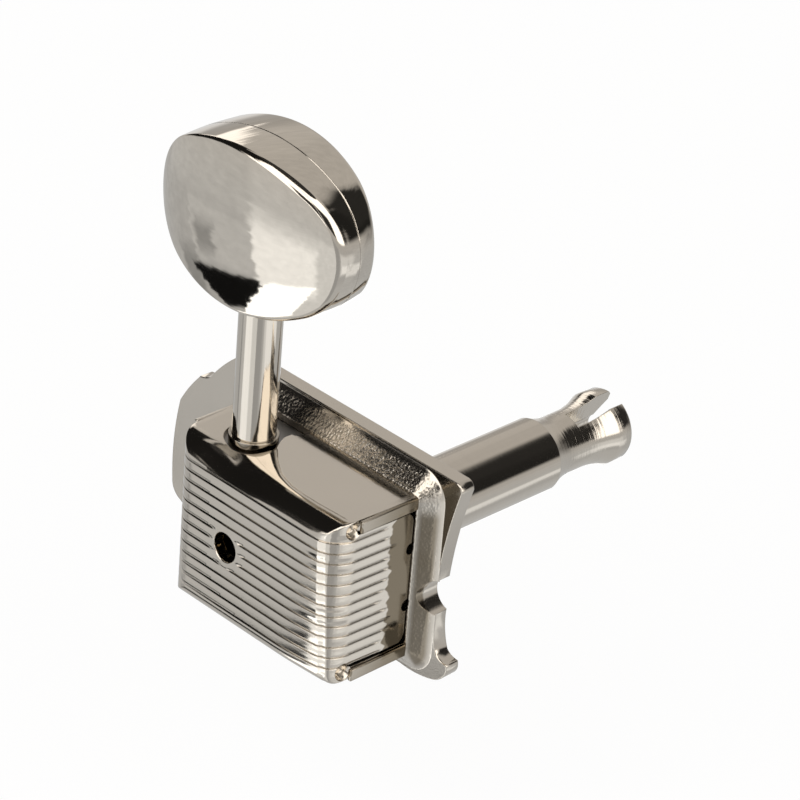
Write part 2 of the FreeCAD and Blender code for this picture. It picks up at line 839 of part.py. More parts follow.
def build_base_plate():
    """Stamped plate: flat rim, raised pan under the cover, screw hole and shared half hole."""
    body = new_body("base_plate")
    half_height = L["plate_height"] / 2
    rim = new_sketch(body, "plate_rim", "XZ_Plane")
    draw_outline(rim, shifted(PLATE_RIGHT_SHARES, L["plate_right"], half_height)
                 + shifted(PLATE_LEFT_SHARES, -L["plate_left"], half_height))
    add_feature(body, "Pad", "plate_sheet", rim, L["plate_wall"])
    foot = new_sketch(body, "shoulder_foot", "XZ_Plane", L["plate_wall"])
    draw_cover_footprint(foot, L["shoulder_run"])
    crest = new_sketch(body, "shoulder_crest", "XZ_Plane", pan_front)
    draw_cover_footprint(crest, L["shoulder_margin"])
    loft_between(body, "AdditiveLoft", "shoulder", foot, crest)
    mouth = new_sketch(body, "recess_mouth", "XZ_Plane")
    draw_cover_footprint(mouth, L["shoulder_run"] - L["shoulder_wall"])
    floor = new_sketch(body, "recess_floor", "XZ_Plane", L["plate_rise"])
    draw_cover_footprint(floor, L["shoulder_margin"] - L["shoulder_wall"])
    before = body.Shape.Volume
    loft_between(body, "SubtractiveLoft", "recess", mouth, floor)
    if body.Shape.Volume >= before:
        raise ValueError("the recess cuts nothing")
    bore_radius = bearing_radius + L["running_gap"]
    collar = new_sketch(body, "post_collar", "XZ_Plane", L["running_gap"])
    draw_circle(collar, 0, 0, bore_radius + L["collar_wall"])
    add_feature(body, "Pad", "post_collar_pad", collar, L["plate_rise"] - L["running_gap"])
    bore = new_sketch(body, "post_bore", "XZ_Plane")
    draw_circle(bore, 0, 0, bore_radius)
    cut_checked(body, "post_bore_cut", bore, pan_front, backwards=True)
    slots = new_sketch(body, "tab_slots", "XZ_Plane")
    gap = L["tab_gap"]
    half_tab = (L["tab_width"] - L["tab_relief"]) / 2 + gap
    depth = L["cover_wall"] + L["tab_ease"]
    draw_box(slots, -cover_left - gap, -half_tab, depth - cover_left, half_tab)
    draw_box(slots, cover_right - depth, -half_tab, cover_right + gap, half_tab)
    cut_checked(body, "tab_slot_cut", slots, pan_front, backwards=True)
    screws = new_sketch(body, "screw_holes", "XZ_Plane")
    draw_circle(screws, L["notch_offset"], -L["notch_drop"], L["notch_diameter"] / 2)
    draw_circle(screws, -L["ear_hole_offset"], -L["notch_drop"], L["ear_hole"] / 2)
    cut_checked(body, "screw_hole_cut", screws, pan_front, backwards=True)
    return body


def dome_stretch(rim):
    """Share by which the dome outreaches the oval, so that the rim keeps this width there."""
    rim_share = rim / L["button_thickness"]
    spread = 1 - rim_share * rim_share
    return Size(1 / math.sqrt(spread.value), "(1 / sqrt(%s))" % spread.text)


def build_button_half(label, to_rear):
    """Half of the oval knob, split at the rim's middle, domed, and bored for stem and sleeve.

    The rim is broad above and below the stem's line and thins out towards both ends.
    """
    blank = new_body(label + "_blank")
    oval = new_sketch(blank, label + "_oval", "XZ_Plane")
    half_length = L["button_length"] / 2
    half_height = L["button_height"] / 2
    centre = L["button_centre"]
    across_share, up_share = BUTTON_CORNER_SHARES
    across = half_length * across_share
    up = half_height * up_share
    end_bulge = float(half_length - across) / float(up)
    side_bulge = float(half_height - up) / float(across)
    draw_outline(oval, [
        (-across, centre - up, side_bulge),
        (across, centre - up, end_bulge),
        (across, centre + up, side_bulge),
        (-across, centre + up, end_bulge),
    ])
    add_feature(blank, "Pad", label + "_pad", oval, L["button_thickness"] / 2, to_rear)
    bore = new_sketch(blank, label + "_bore", "XZ_Plane")
    stem = stem_radius + L["press_gap"]
    sleeve = L["sleeve_diameter"] / 2 + L["press_gap"]
    draw_outline(bore, [
        (0, centre - half_height - L["overrun"]),
        (stem, centre - half_height - L["overrun"]),
        (stem, sleeve_low),
        (sleeve, sleeve_low),
        (sleeve, L["stem_top"]),
        (0, L["stem_top"]),
    ])
    before = blank.Shape.Volume
    groove = blank.newObject("PartDesign::Groove", label + "_bore_cut")
    groove.Profile = bore
    groove.ReferenceAxis = (bore, ["V_Axis"])
    groove.Angle = 360.0
    document.recompute()
    if blank.Shape.Volume >= before:
        raise ValueError("%s bore cuts nothing" % label)
    dome = document.addObject("Part::Ellipsoid", label + "_dome")
    bind(dome, "Radius1", half_height * dome_stretch(L["button_rim_top"]))
    bind(dome, "Radius2", half_length * dome_stretch(L["button_rim_end"]))
    bind(dome, "Radius3", L["button_thickness"] / 2)
    place(dome, z=centre)
    half = document.addObject("Part::Common", label + "_solid")
    half.Base = blank
    half.Tool = dome
    half.Label = label
    place(half, x=-stem_offset, y=-L["gear_setback"], axis=FreeCAD.Vector(0, 0, 1),
          angle=BUTTON_TURN)
    document.recompute()
    return half


def build_all():
    """Every sub-part in the order in which the machine is put together."""
    pieces = [build_base_plate(), build_string_post(), build_worm_wheel()]
    pieces.append(ring("wheel_washer", "XZ_Plane", L["wheel_washer_width"] / 2,
                       bearing_radius + L["running_gap"], pan_front,
                       pan_front + L["wheel_washer_thickness"]))
    pieces.append(build_worm_shaft())
    washer = L["thrust_washer_width"] / 2
    pieces.append(build_shaft_ring("upper_washer", washer, stem_radius + L["press_gap"],
                                   washer_inner, washer_outer))
    pieces.append(build_shaft_ring("lower_washer", washer, journal_radius + L["press_gap"],
                                   -washer_outer, -washer_inner))
    pieces.append(build_bush("upper_bush", stem_radius + L["running_gap"], True))
    pieces.append(build_bush("lower_bush", journal_radius + L["running_gap"], False))
    collar_low = bush_top + L["running_gap"]
    pieces.append(build_shaft_ring("shaft_collar", L["collar_diameter"] / 2,
                                   stem_radius + L["press_gap"], collar_low,
                                   collar_low + L["collar_height"]))
    pieces.append(build_cover())
    pieces.append(build_shaft_ring("button_sleeve", L["sleeve_diameter"] / 2,
                                   stem_radius + L["press_gap"], sleeve_low, L["stem_top"]))
    pieces.append(build_button_half("button_front", False))
    pieces.append(build_button_half("button_rear", True))
    document.recompute()
    return pieces


def write_steps(pieces):
    """Check every object, then write each sub-part to its own file."""
    for item in document.Objects:
        if "Invalid" in item.State or "Error" in item.State:
            raise ValueError("%s is not valid: %s" % (item.Label, item.State))
    for piece in pieces:
        shape = piece.Shape
        if shape.isNull() or not shape.isValid() or len(shape.Solids) != 1:
            raise ValueError("%s has no single valid solid" % piece.Label)
    os.makedirs("parts", exist_ok=True)
    for piece in pieces:
        piece.Shape.exportStep("parts/%s.step" % piece.Label)
        box = piece.Shape.BoundBox
        print("%-14s %8.2f mm3  x %.2f..%.2f  y %.2f..%.2f  z %.2f..%.2f" % (
            piece.Label, piece.Shape.Volume, box.XMin, box.XMax, box.YMin, box.YMax,
            box.ZMin, box.ZMax))


write_steps(build_all())
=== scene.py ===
import json
import math
from types import SimpleNamespace

import bmesh
import bpy
from mathutils import Matrix, Vector


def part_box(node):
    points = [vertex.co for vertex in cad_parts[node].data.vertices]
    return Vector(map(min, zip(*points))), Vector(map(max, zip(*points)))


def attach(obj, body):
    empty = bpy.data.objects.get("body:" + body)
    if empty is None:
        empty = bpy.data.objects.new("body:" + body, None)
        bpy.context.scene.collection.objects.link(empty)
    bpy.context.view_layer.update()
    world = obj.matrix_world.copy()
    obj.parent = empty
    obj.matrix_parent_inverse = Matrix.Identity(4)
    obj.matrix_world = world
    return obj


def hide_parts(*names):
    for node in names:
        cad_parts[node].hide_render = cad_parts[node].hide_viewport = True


bl_info = {
    "name": "Guitar tuning machine",
    "version": (1, 0, 0),
    "blender": (4, 5, 0),
    "location": "3D View > Sidebar > Tuner",
    "description": "Detailed pieces, plated finishes and a small studio for a geared guitar tuner",
    "category": "Object",
}

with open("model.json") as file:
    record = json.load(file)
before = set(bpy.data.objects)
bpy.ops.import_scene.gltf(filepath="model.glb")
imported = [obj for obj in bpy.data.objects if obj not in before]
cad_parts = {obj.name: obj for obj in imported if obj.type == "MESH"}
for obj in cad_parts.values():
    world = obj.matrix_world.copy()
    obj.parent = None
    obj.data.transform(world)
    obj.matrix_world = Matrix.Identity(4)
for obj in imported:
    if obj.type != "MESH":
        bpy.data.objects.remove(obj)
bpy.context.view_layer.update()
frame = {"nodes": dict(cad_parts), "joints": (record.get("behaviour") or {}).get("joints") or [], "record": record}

# Everything is modelled in millimetres and brought to metres when a piece is finished.
MM = 0.001
STEM = [value / MM for value in frame["joints"][0]["pos_m"]]
AXES = {"+Y": Matrix.Rotation(math.radians(-90), 4, "X"), "+Z": Matrix.Identity(4),
        "+X": Matrix.Rotation(math.radians(90), 4, "Y")}


def node_box(node):
    """Lowest and highest corner of a CAD node, in millimetres."""
    low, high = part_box(node)
    return low / MM, high / MM


COVER_LOW, COVER_HIGH = node_box("cover")
PLATE_LOW, _ = node_box("base_plate")
FLAP_PROUD = 0.3
COVER_LEFT = COVER_LOW.x + FLAP_PROUD
COVER_RIGHT = COVER_HIGH.x - FLAP_PROUD
COVER_FRONT = COVER_LOW.y
COVER_TOP = COVER_HIGH.z
PAN_FRONT = PLATE_LOW.y
POST_TIP = 26.0
WHEEL_FRONT, WHEEL_BACK = -8.0, -3.05
# An arc's bulge is the tangent of a quarter of its sweep; this one turns by 90 degrees.
QUARTER_ARC = math.tan(math.pi / 8)


def length(name, text, default):
    """Property for a length: the default is in millimetres, the stored value in metres."""
    return bpy.props.FloatProperty(name=name, description=text, default=default * MM, min=0.0,
                                   soft_max=0.1, precision=6, unit="LENGTH")


def angle(name, text, default):
    """Property for an angle: the default is in degrees."""
    return bpy.props.FloatProperty(name=name, description=text, default=math.radians(default),
                                   unit="ROTATION")


def colour(name, text, default):
    """Property for a linear colour."""
    return bpy.props.FloatVectorProperty(name=name, description=text, default=default, size=3,
                                         min=0.0, max=1.0, subtype="COLOR")


class TunerCoverSizes(bpy.types.PropertyGroup):
    """Sizes of the ridged cover."""

    wall: length("Wall", "Thickness of the cover's sheet", 1.0)
    side_bend: length("Side bend", "Outer radius where front and sides meet", 2.0)
    top_drop: length("Top roll", "Height of the roll from the front into the top flap", 1.7)
    bottom_drop: length("Bottom roll", "Radius of the roll into the bottom flap", 1.0)
    ball_round: length("Corner ball", "Rounding where a roll meets a side bend", 0.5)
    groove_pitch: length("Groove pitch", "Distance between two grooves", 0.893)
    groove_width: length("Groove width", "Width of a groove at the surface", 0.2)
    groove_depth: length("Groove depth", "Depth of a groove", 0.13)
    groove_top: length("First groove", "Height of the uppermost groove over the middle", 5.18)
    rib_crown: length("Rib crown", "How far a rib's middle stands over its edges", 0.005)
    corner_bow: length("Corner bow", "How far the front falls back before the right corner", 0.62)
    rib_sway: length("Rib sway", "How unevenly the ribs bend before the right corner", 0.13)
    groove_end: length("Groove end", "Where the grooves end on the sides, behind the front", 5.7)
    end_spread: length("Spread of ends", "How much the grooves' ends differ", 1.3)
    side_lean: angle("Side lean", "Lean of the ridged part of the sides", 2.2)
    oil_hole: length("Oil hole", "Radius of the oil hole", 1.19)
    oil_rim: length("Oil hole rim", "Width of the smooth ring round the oil hole", 0.5)
    oil_offset: length("Oil hole offset", "From the post's axis towards the long ear", 4.64)
    oil_drop: length("Oil hole drop", "From the middle downwards", 0.3)
    slot_side: length("Slot half width", "Half the width of the open slot round the stem", 2.2)
    grooves: bpy.props.IntProperty(name="Grooves", description="Number of grooves", default=13,
                                   min=1, max=40)
    seed: bpy.props.IntProperty(name="Seed", description="Seed of the grooves' ragged ends",
                                default=4, min=0)


class TunerPlateSizes(bpy.types.PropertyGroup):
    """Sizes of the stamped base plate."""

    sheet: length("Sheet", "Thickness of the plate's rim", 1.3)
    rim_round: length("Rim rounding", "Rounding of the rim's front edge", 0.22)
    shoulder_foot: length("Shoulder foot", "Reach of the shoulder's foot past the cover", 1.6)
    shoulder_crest: length("Shoulder crest", "Reach of the shoulder's crest past the cover", 0.1)
    foot_round: length("Foot corners", "Corner radius at the shoulder's foot", 2.1)
    crest_round: length("Crest corners", "Corner radius at the shoulder's crest", 0.7)
    press_round: length("Press radius", "Rounding of the shoulder's upper edge", 0.22)
    notch: length("Notch", "Radius of the half-round notch and of the ear's hole", 1.5)
    notch_offset: length("Notch offset", "From the post's axis to the notch's middle", 8.9)
    ear_offset: length("Ear hole offset", "From the post's axis to the ear's hole", 16.3)
    hole_drop: length("Hole drop", "From the middle down to both holes", 1.47)


class TunerPostSizes(bpy.types.PropertyGroup):
    """Sizes of the string post."""

    radius: length("Radius", "Radius of the post", 3.0)
    bearing: length("Bearing", "Radius of the post inside the plate", 2.75)
    shoulder: length("Shoulder", "Height where the neck starts", 17.6)
    waist: length("Waist", "Radius of the waist", 2.425)
    slot: length("Slot", "Width of the string slot", 1.55)
    slot_depth: length("Slot depth", "Depth of the string slot", 5.1)
    bore: length("Bore", "Radius of the string's bore", 1.0)
    mouth: length("Bore mouth", "Radius of the bore's mouth", 2.05)
    slot_turn: angle("Slot turn", "How far the slot is turned about the post's axis", 17.2)


class TunerKnobSizes(bpy.types.PropertyGroup):
    """Sizes of the oval button."""

    half_length: length("Half length", "Half of the oval's long side", 9.2)
    half_height: length("Half height", "Half of the oval's short side", 6.6)
    half_thickness: length("Half thickness", "From the parting line to the face's crown", 3.8)
    rim_top: length("Rim at the top", "From the parting line to the face's edge, at the top", 3.15)
    rim_end: length("Rim at the ends", "From the parting line to the face's edge, at an end", 1.5)
    edge_round: length("Edge rounding", "Rounding between rim and face, at the left end", 0.22)
    end_round: length("End rounding", "Rounding between rim and face, at the right end", 0.95)
    barrel: length("Barrel", "How far the rim curves in towards the face", 0.1)
    parting: length("Parting groove", "Depth of the groove between the halves", 0.05)
    centre: length("Centre", "Height of the button's middle", 25.0)
    turn: angle("Turn", "How far the button is turned about the stem", 3.0)


class TunerFinishes(bpy.types.PropertyGroup):
    """Colours of the finishes."""

    nickel: colour("Nickel", "Nickel plating", (0.66, 0.613, 0.542))
    # Painted dark reflection: a darker plating colour laid on places that should mirror dark surroundings.
    shade: colour("Shaded nickel", "Plating where it mirrors the dark side", (0.19, 0.158, 0.113))
    steel: colour("Bush steel", "Dull steel of the bushes", (0.36, 0.35, 0.34))
    washer: colour("Washer steel", "Plain stamped steel", (0.52, 0.51, 0.49))
    brass: colour("Brass", "Cut brass", (0.71, 0.53, 0.27))
    floor: colour("Floor", "Floor of the studio", (0.93, 0.93, 0.93))


class TunerStudioSizes(bpy.types.PropertyGroup):
    """Camera and floor."""

    camera: bpy.props.FloatVectorProperty(name="Camera", description="Place of the camera",
                                          default=(0.1538, -0.1587, 0.136), size=3, precision=5,
                                          subtype="TRANSLATION", unit="LENGTH")
    lens: bpy.props.FloatProperty(name="Lens", description="Focal length for a 36 mm sensor",
                                  default=155.95, min=1.0, unit="CAMERA")
    floor_drop: length("Floor drop", "From the plate's lowest edge down to the floor", 14.0)
    floor_width: length("Floor width", "Width of the floor", 1600.0)


def millimetres(sizes):
    """A property group's values by name: lengths in millimetres, the rest as they are."""
    values = {}
    for name, prop in sizes.bl_rna.properties.items():
        if name in ("rna_type", "name"):
            continue
        value = getattr(sizes, name)
        values[name] = value / MM if prop.unit == "LENGTH" else value
    return SimpleNamespace(**values)


# Outlines and meshes

def arc_run(start, end, bulge, steps):
    """Points from start up to, but without, end, along a chord or an arc."""
    if not bulge:
        return [start]
    (x0, y0), (x1, y1) = start, end
    offset = (1 - bulge * bulge) / (4 * bulge)
    cx = (x0 + x1) / 2 - (y1 - y0) * offset
    cy = (y0 + y1) / 2 + (x1 - x0) * offset
    sweep = 4 * math.atan(bulge)
    points = []
    for step in range(steps):
        turn = sweep * step / steps
        cos, sin = math.cos(turn), math.sin(turn)
        points.append((cx + (x0 - cx) * cos - (y0 - cy) * sin,
                       cy + (x0 - cx) * sin + (y0 - cy) * cos))
    return points


def outline(points, steps=8, closed=True):
    """Points along an outline whose corners are (x, y) or (x, y, bulge of the arc after it)."""
    run = []
    for index, point in enumerate(points):
        following = points[(index + 1) % len(points)]
        if index + 1 == len(points) and not closed:
            run.append(point[:2])
        else:
            run += arc_run(point[:2], following[:2], point[2] if len(point) > 2 else 0.0, steps)
    return run


def rounded_box(low_x, low_z, high_x, high_z, radius, steps=8):
    """Outline of a box with round corners, from its lower left corner round to the right."""
    return outline([
        (low_x + radius, low_z), (high_x - radius, low_z, QUARTER_ARC),
        (high_x, low_z + radius), (high_x, high_z - radius, QUARTER_ARC),
        (high_x - radius, high_z), (low_x + radius, high_z, QUARTER_ARC),
        (low_x, high_z - radius), (low_x, low_z + radius, QUARTER_ARC)], steps)


def turned(profile, count, axis="+Z", centre=(0, 0, 0)):
    """Mesh of a profile of (radius, height) points swept round an axis."""
    mesh = bmesh.new()
    rings = []
    for radius, height in profile:
        if radius < 1e-6:
            rings.append([mesh.verts.new((0, 0, height))])
            continue
        turns = [2 * math.pi * step / count for step in range(count)]
        rings.append([mesh.verts.new((radius * math.cos(turn), radius * math.sin(turn), height))
                      for turn in turns])
    for low, high in zip(rings, rings[1:]):
        stitch(mesh, low, high)
    mesh.transform(Matrix.Translation(centre) @ AXES[axis])
    return mesh


def stitch(mesh, low, high):
    """Faces between two closed rows of vertices; a row of one vertex is a pole."""
    count = max(len(low), len(high))
    for step in range(count):
        following = (step + 1) % count
        corners = [low[step % len(low)], low[following % len(low)],
                   high[following % len(high)], high[step % len(high)]]
        corners = list(dict.fromkeys(corners))
        if len(corners) > 2:
            mesh.faces.new(corners)


def stacked(rows):
    """Closed mesh through rows of (x, y, z) points, with a flat face at both ends."""
    mesh = bmesh.new()
    made = [[mesh.verts.new(point) for point in row] for row in rows]
    for low, high in zip(made, made[1:]):
        stitch(mesh, low, high)
    mesh.faces.new(made[0])
    mesh.faces.new(made[-1])
    return mesh


def slab(points, low, high, place=Matrix.Identity(4)):
    """Mesh of an outline in X and Z, raised along Y from low to high."""
    mesh = stacked([[(x, y, z) for x, z in points] for y in (low, high)])
    mesh.transform(place)
    return mesh


def working_object(mesh, name):
    """Object from a bmesh, still in millimetres, with merged doubles and outward normals."""
    bmesh.ops.remove_doubles(mesh, verts=mesh.verts, dist=1e-4)
    bmesh.ops.dissolve_degenerate(mesh, edges=mesh.edges, dist=1e-5)
    bmesh.ops.recalc_face_normals(mesh, faces=mesh.faces)
    data = bpy.data.meshes.new(name)
    mesh.to_mesh(data)
    mesh.free()
    piece = bpy.data.objects.new(name, data)
    bpy.context.scene.collection.objects.link(piece)
    return piece


def settle(piece):
    """Turn the result of a piece's modifiers into its plain mesh."""
    bpy.context.view_layer.update()
    graph = bpy.context.evaluated_depsgraph_get()
    before = piece.data
    piece.data = bpy.data.meshes.new_from_object(piece.evaluated_get(graph))
    piece.modifiers.clear()
    bpy.data.meshes.remove(before)


def carve(piece, tools, operation="DIFFERENCE"):
    """Cut the tools out of a piece, or join them to it, one after the other."""
    for tool in tools:
        change = piece.modifiers.new(tool.name, "BOOLEAN")
        change.operation = operation
        change.solver = "EXACT"
        change.object = tool
    settle(piece)
    for tool in tools:
        bpy.data.objects.remove(tool)


def round_edges(piece, width, segments=3, limit=35.0):
    """Round every edge that is sharper than the limit."""
    change = piece.modifiers.new("edge_rounding", "BEVEL")
    change.width = width
    change.segments = segments
    change.limit_method = "ANGLE"
    change.angle_limit = math.radians(limit)
    settle(piece)


def finish_piece(piece, body, finish, nodes=(), sharp=32.0):
    """Bring a piece to metres, smooth it, give it its finish and let it ride on its body."""
    mesh = bmesh.new()
    mesh.from_mesh(piece.data)
    bmesh.ops.remove_doubles(mesh, verts=mesh.verts, dist=2e-4)
    bmesh.ops.recalc_face_normals(mesh, faces=mesh.faces)
    mesh.transform(Matrix.Scale(MM, 4))
    mesh.to_mesh(piece.data)
    mesh.free()
    piece.data.shade_smooth()
    piece.data.set_sharp_from_angle(angle=math.radians(sharp))
    shading = piece.modifiers.new("even_shading", "WEIGHTED_NORMAL")
    shading.keep_sharp = True
    settle(piece)
    piece.data.materials.clear()
    piece.data.materials.append(finish)
    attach(piece, body)
    if nodes:
        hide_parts(*nodes)
    return piece


# Finishes

class Wire:
    """One output socket; arithmetic on it adds the Math nodes."""

    def __init__(self, sheet, output):
        self.sheet = sheet
        self.output = output

    def math(self, operation, *others):
        return self.sheet.node("ShaderNodeMath", {"operation": operation}, [self, *others])

    def __add__(self, other):
        return self.math("ADD", other)

    __radd__ = __add__

    def __mul__(self, other):
        return self.math("MULTIPLY", other)

    __rmul__ = __mul__

    def __sub__(self, other):
        return self.math("SUBTRACT", other)

    def __rsub__(self, other):
        return self.sheet.node("ShaderNodeMath", {"operation": "SUBTRACT"}, [other, self])

    def __truediv__(self, other):
        return self.math("DIVIDE", other)

    def __pow__(self, other):
        return self.math("POWER", other)


class Sheet:
    """The node tree of a finish, of the world or of a geometry, with one way to add a node."""

    def __init__(self, tree):
        self.tree = tree
        tree.nodes.clear()

    def node(self, kind, settings=None, sockets=None, output=0):
        """Add a node: first its settings, then its sockets' values or links by place or name."""
        made = self.tree.nodes.new(kind)
        for name, value in (settings or {}).items():
            setattr(made, name, value)
        pairs = sockets.items() if isinstance(sockets, dict) else enumerate(sockets or ())
        for key, value in pairs:
            socket = made.inputs[key]
            if isinstance(value, Wire):
                self.tree.links.new(value.output, socket)
            elif value is not None:
                socket.default_value = value
        return Wire(self, made.outputs[output]) if made.outputs else made

    def vector(self, operation, first, second=None, output=0):
        return self.node("ShaderNodeVectorMath", {"operation": operation}, [first, second], output)

    def split(self, vector):
        """The three parts of a vector."""
        first = self.node("ShaderNodeSeparateXYZ", {}, [vector])
        return [Wire(self, output) for output in first.output.node.outputs]

    def step(self, value, low, high, to_low=0.0, to_high=1.0):
        """Smooth step of a value from to_low at low up to to_high at high."""
        return self.node("ShaderNodeMapRange", {"interpolation_type": "SMOOTHSTEP"},
                         {"Value": value, "From Min": low, "From Max": high, "To Min": to_low,
                          "To Max": to_high})

    def mix(self, share_of_second, first, second, blend="MIX"):
        """Mix of two colours."""
        return self.node("ShaderNodeMix", {"data_type": "RGBA", "blend_type": blend},
                         {0: share_of_second, 6: first, 7: second}, 2)

    def noise(self, place, scale, detail=3.0, roughness=0.5, stretch=None):
        """Noise at a number of cells in a metre, stretched by an optional vector."""
        if stretch:
            place = self.vector("MULTIPLY", place, stretch)
        return self.node("ShaderNodeTexNoise", {},
                         {"Vector": place, "Scale": scale, "Detail": detail,
                          "Roughness": roughness})


def new_finish(name):
    """An empty finish with its node sheet and the object coordinates."""
    finish = bpy.data.materials.new(name)
    finish.use_nodes = True
    sheet = Sheet(finish.node_tree)
    place = sheet.node("ShaderNodeTexCoord", output="Object")
    return finish, sheet, place


def opaque(colour_value):
    return (*colour_value, 1.0)


def shaded(colour_value, factor):
    return (*(channel * factor for channel in colour_value), 1.0)


def close_metal(finish, sheet, base, rough, relief, height, edge=0.00007):
    """Plated metal from its varying colour, roughness and relief; the edges shade as rounded."""
    edges = sheet.node("ShaderNodeBevel", {"samples": 4}, {"Radius": edge})
    bump = sheet.node("ShaderNodeBump", {}, {"Strength": 1.0, "Distance": height,
                                             "Height": relief, "Normal": edges})
    shader = sheet.node("ShaderNodeBsdfPrincipled", {},
                        {"Base Color": base, "Metallic": 1.0, "Roughness": rough,
                         "Normal": bump})
    sheet.node("ShaderNodeOutputMaterial", {}, {"Surface": shader})
    return finish


def cover_nickel(finishes):
    """Polished plating with faint press marks, duller on the sides' ridged part; painted dark reflections on the
    sides' smooth part, round the corner reliefs and along the right flaps.
    """
    finish, sheet, place = new_finish("cover_nickel")
    x, y, z = sheet.split(place)
    cloud = sheet.noise(place, 260.0, 4.0, 0.55)
    grain = sheet.noise(place, 9000.0, 2.0, 0.6)
    streak = sheet.noise(place, 900.0, 3.0, 0.6, (1.0, 1.0, 7.0))
    ragged = sheet.noise(place, 1150.0, 1.0, 0.5, (0.02, 0.02, 1.0))
    behind = sheet.step(y + ragged * 0.0018, -0.00395, -0.00375)
    side = (x + 0.002).math("ABSOLUTE").math("GREATER_THAN", 0.0084)
    smooth = behind * side * z.math("ABSOLUTE").math("LESS_THAN", 0.0062)
    rough = 0.055 + cloud * 0.05 + grain * 0.03 + side * (1 - smooth) * 0.10
    base = sheet.mix(cloud * 0.5, opaque(finishes.nickel), shaded(finishes.nickel, 0.90))
    # Painted dark reflection: the smooth part of the sides, behind the ridges, is coloured with the darker
    # plating.
    base = sheet.mix(smooth, base, opaque(finishes.shade))
    high = z.math("ABSOLUTE")
    off_y, off_z = y + 0.00853, high - 0.00605
    dimple = sheet.step(off_y * off_y + off_z * off_z, 3.6e-7, 2.8e-7) * side
    # Painted shade: round the corner relief holes the plating is coloured darker.
    base = sheet.mix(dimple * 0.8, base, shaded(finishes.shade, 1.25))
    # Painted dark reflection: bands along the right side by the top and bottom flaps are coloured darker, more so
    # towards the back.
    strip = sheet.step(high, 0.0057, 0.0059) * sheet.step(x, 0.00684, 0.00692)
    strip = strip * sheet.step(y, -0.0088, -0.0035, 0.45, 0.95)
    base = sheet.mix(strip, base, shaded(finishes.shade, 1.2))
    relief = grain * 0.35 + streak * 0.25 + cloud * 2.0
    return close_metal(finish, sheet, base, rough, relief, 0.0000035)


def plate_nickel(finishes):
    """Plating on pressed steel: a smooth rim, and orange peel where the shoulder was drawn; painted dark
    reflection on the shoulder's right flank.
    """
    finish, sheet, place = new_finish("plate_nickel")
    x, y, z = sheet.split(place)
    drawn = sheet.step(y, -0.00135, -0.0016)
    cloud = sheet.noise(place, 220.0, 4.0, 0.55)
    peel = sheet.node("ShaderNodeTexVoronoi", {"feature": "SMOOTH_F1"},
                      {"Vector": place, "Scale": 4200.0, "Smoothness": 0.7})
    grain = sheet.noise(place, 7000.0, 3.0, 0.6)
    flank = drawn * sheet.step(x, 0.0070, 0.0074) * sheet.step(z, 0.0062, 0.0050)
    flank = flank * sheet.step(x + cloud * 0.0008, 0.0094, 0.0088)
    relief = cloud * 1.2 + grain * 0.3 + drawn * (1 - flank * 0.75) * (peel * 3.2 + grain * 2.0)
    rough = 0.09 + cloud * 0.07 + drawn * (1 - flank) * 0.05
    base = sheet.mix(cloud * 0.6, shaded(finishes.nickel, 0.97), shaded(finishes.nickel, 0.86))
    # Painted dark reflection: the shoulder's right flank is coloured with the darker plating.
    base = sheet.mix(flank * (0.65 + cloud * 0.4), base, shaded(finishes.shade, 1.2))
    return close_metal(finish, sheet, base, rough, relief, 0.000009)


def button_nickel(finishes):
    """High polish with a few hairlines from handling."""
    finish, sheet, place = new_finish("button_nickel")
    cloud = sheet.noise(place, 150.0, 4.0, 0.6)
    hairs = sheet.noise(place, 700.0, 2.0, 0.7, (0.35, 0.35, 5.0))
    rough = 0.02 + cloud * 0.03 + hairs * 0.02
    base = sheet.mix(cloud * 0.5, opaque(finishes.nickel), shaded(finishes.nickel, 0.93))
    return close_metal(finish, sheet, base, rough, cloud * 3.0 + hairs * 0.3, 0.000003)


def post_nickel(finishes):
    """Turned and plated: fine rings round the post, coarse ones on the neck and the head."""
    finish, sheet, place = new_finish("post_nickel")
    y = sheet.node("ShaderNodeSeparateXYZ", {}, [place], 1)
    rings = sheet.noise(place, 5200.0, 3.0, 0.6, (0.012, 1.0, 0.012))
    coarse = sheet.noise(place, 1700.0, 4.0, 0.65, (0.06, 1.0, 0.06))
    cloud = sheet.noise(place, 300.0, 3.0, 0.5)
    head = sheet.step(y, 0.0176, 0.0186)
    relief = rings * 0.5 + head * (coarse * 6.0 + rings * 3.0) + cloud
    rough = 0.05 + cloud * 0.05 + rings * 0.03 + head * 0.03
    base = sheet.mix(coarse * 0.5, opaque(finishes.nickel), shaded(finishes.nickel, 0.88))
    return close_metal(finish, sheet, base, rough, relief, 0.0000045)


def stem_nickel(finishes):
    """Drawn and plated rod: faint lines along it, with painted shade where it sits in the cover's slot."""
    finish, sheet, place = new_finish("stem_nickel")
    z = sheet.node("ShaderNodeSeparateXYZ", {}, [place], 2)
    foot = sheet.step(z, 0.0074, 0.0071)
    lines = sheet.noise(place, 3000.0, 3.0, 0.6, (1.0, 1.0, 0.03))
    cloud = sheet.noise(place, 350.0, 3.0, 0.5)
    rough = 0.04 + cloud * 0.05 + lines * 0.03
    base = sheet.mix(cloud * 0.5, opaque(finishes.nickel), shaded(finishes.nickel, 0.9))
    # Painted shade: the stem's foot in the cover's slot is coloured with the darker plating.
    base = sheet.mix(foot * 0.85, base, shaded(finishes.shade, 0.6))
    return close_metal(finish, sheet, base, rough, lines * 0.6 + cloud * 2.5, 0.000004)


def dull_metal(name, base_colour, rough_from, grain_scale, height):
    """Steel or brass that isn't plated: even grain, uneven tarnish."""
    finish, sheet, place = new_finish(name)
    grain = sheet.noise(place, grain_scale, 4.0, 0.65)
    patches = sheet.noise(place, 400.0, 4.0, 0.6)
    base = sheet.mix(patches, opaque(base_colour), shaded(base_colour, 0.72))
    rough = rough_from + grain * 0.12 + patches * 0.1
    return close_metal(finish, sheet, base, rough, grain, height)


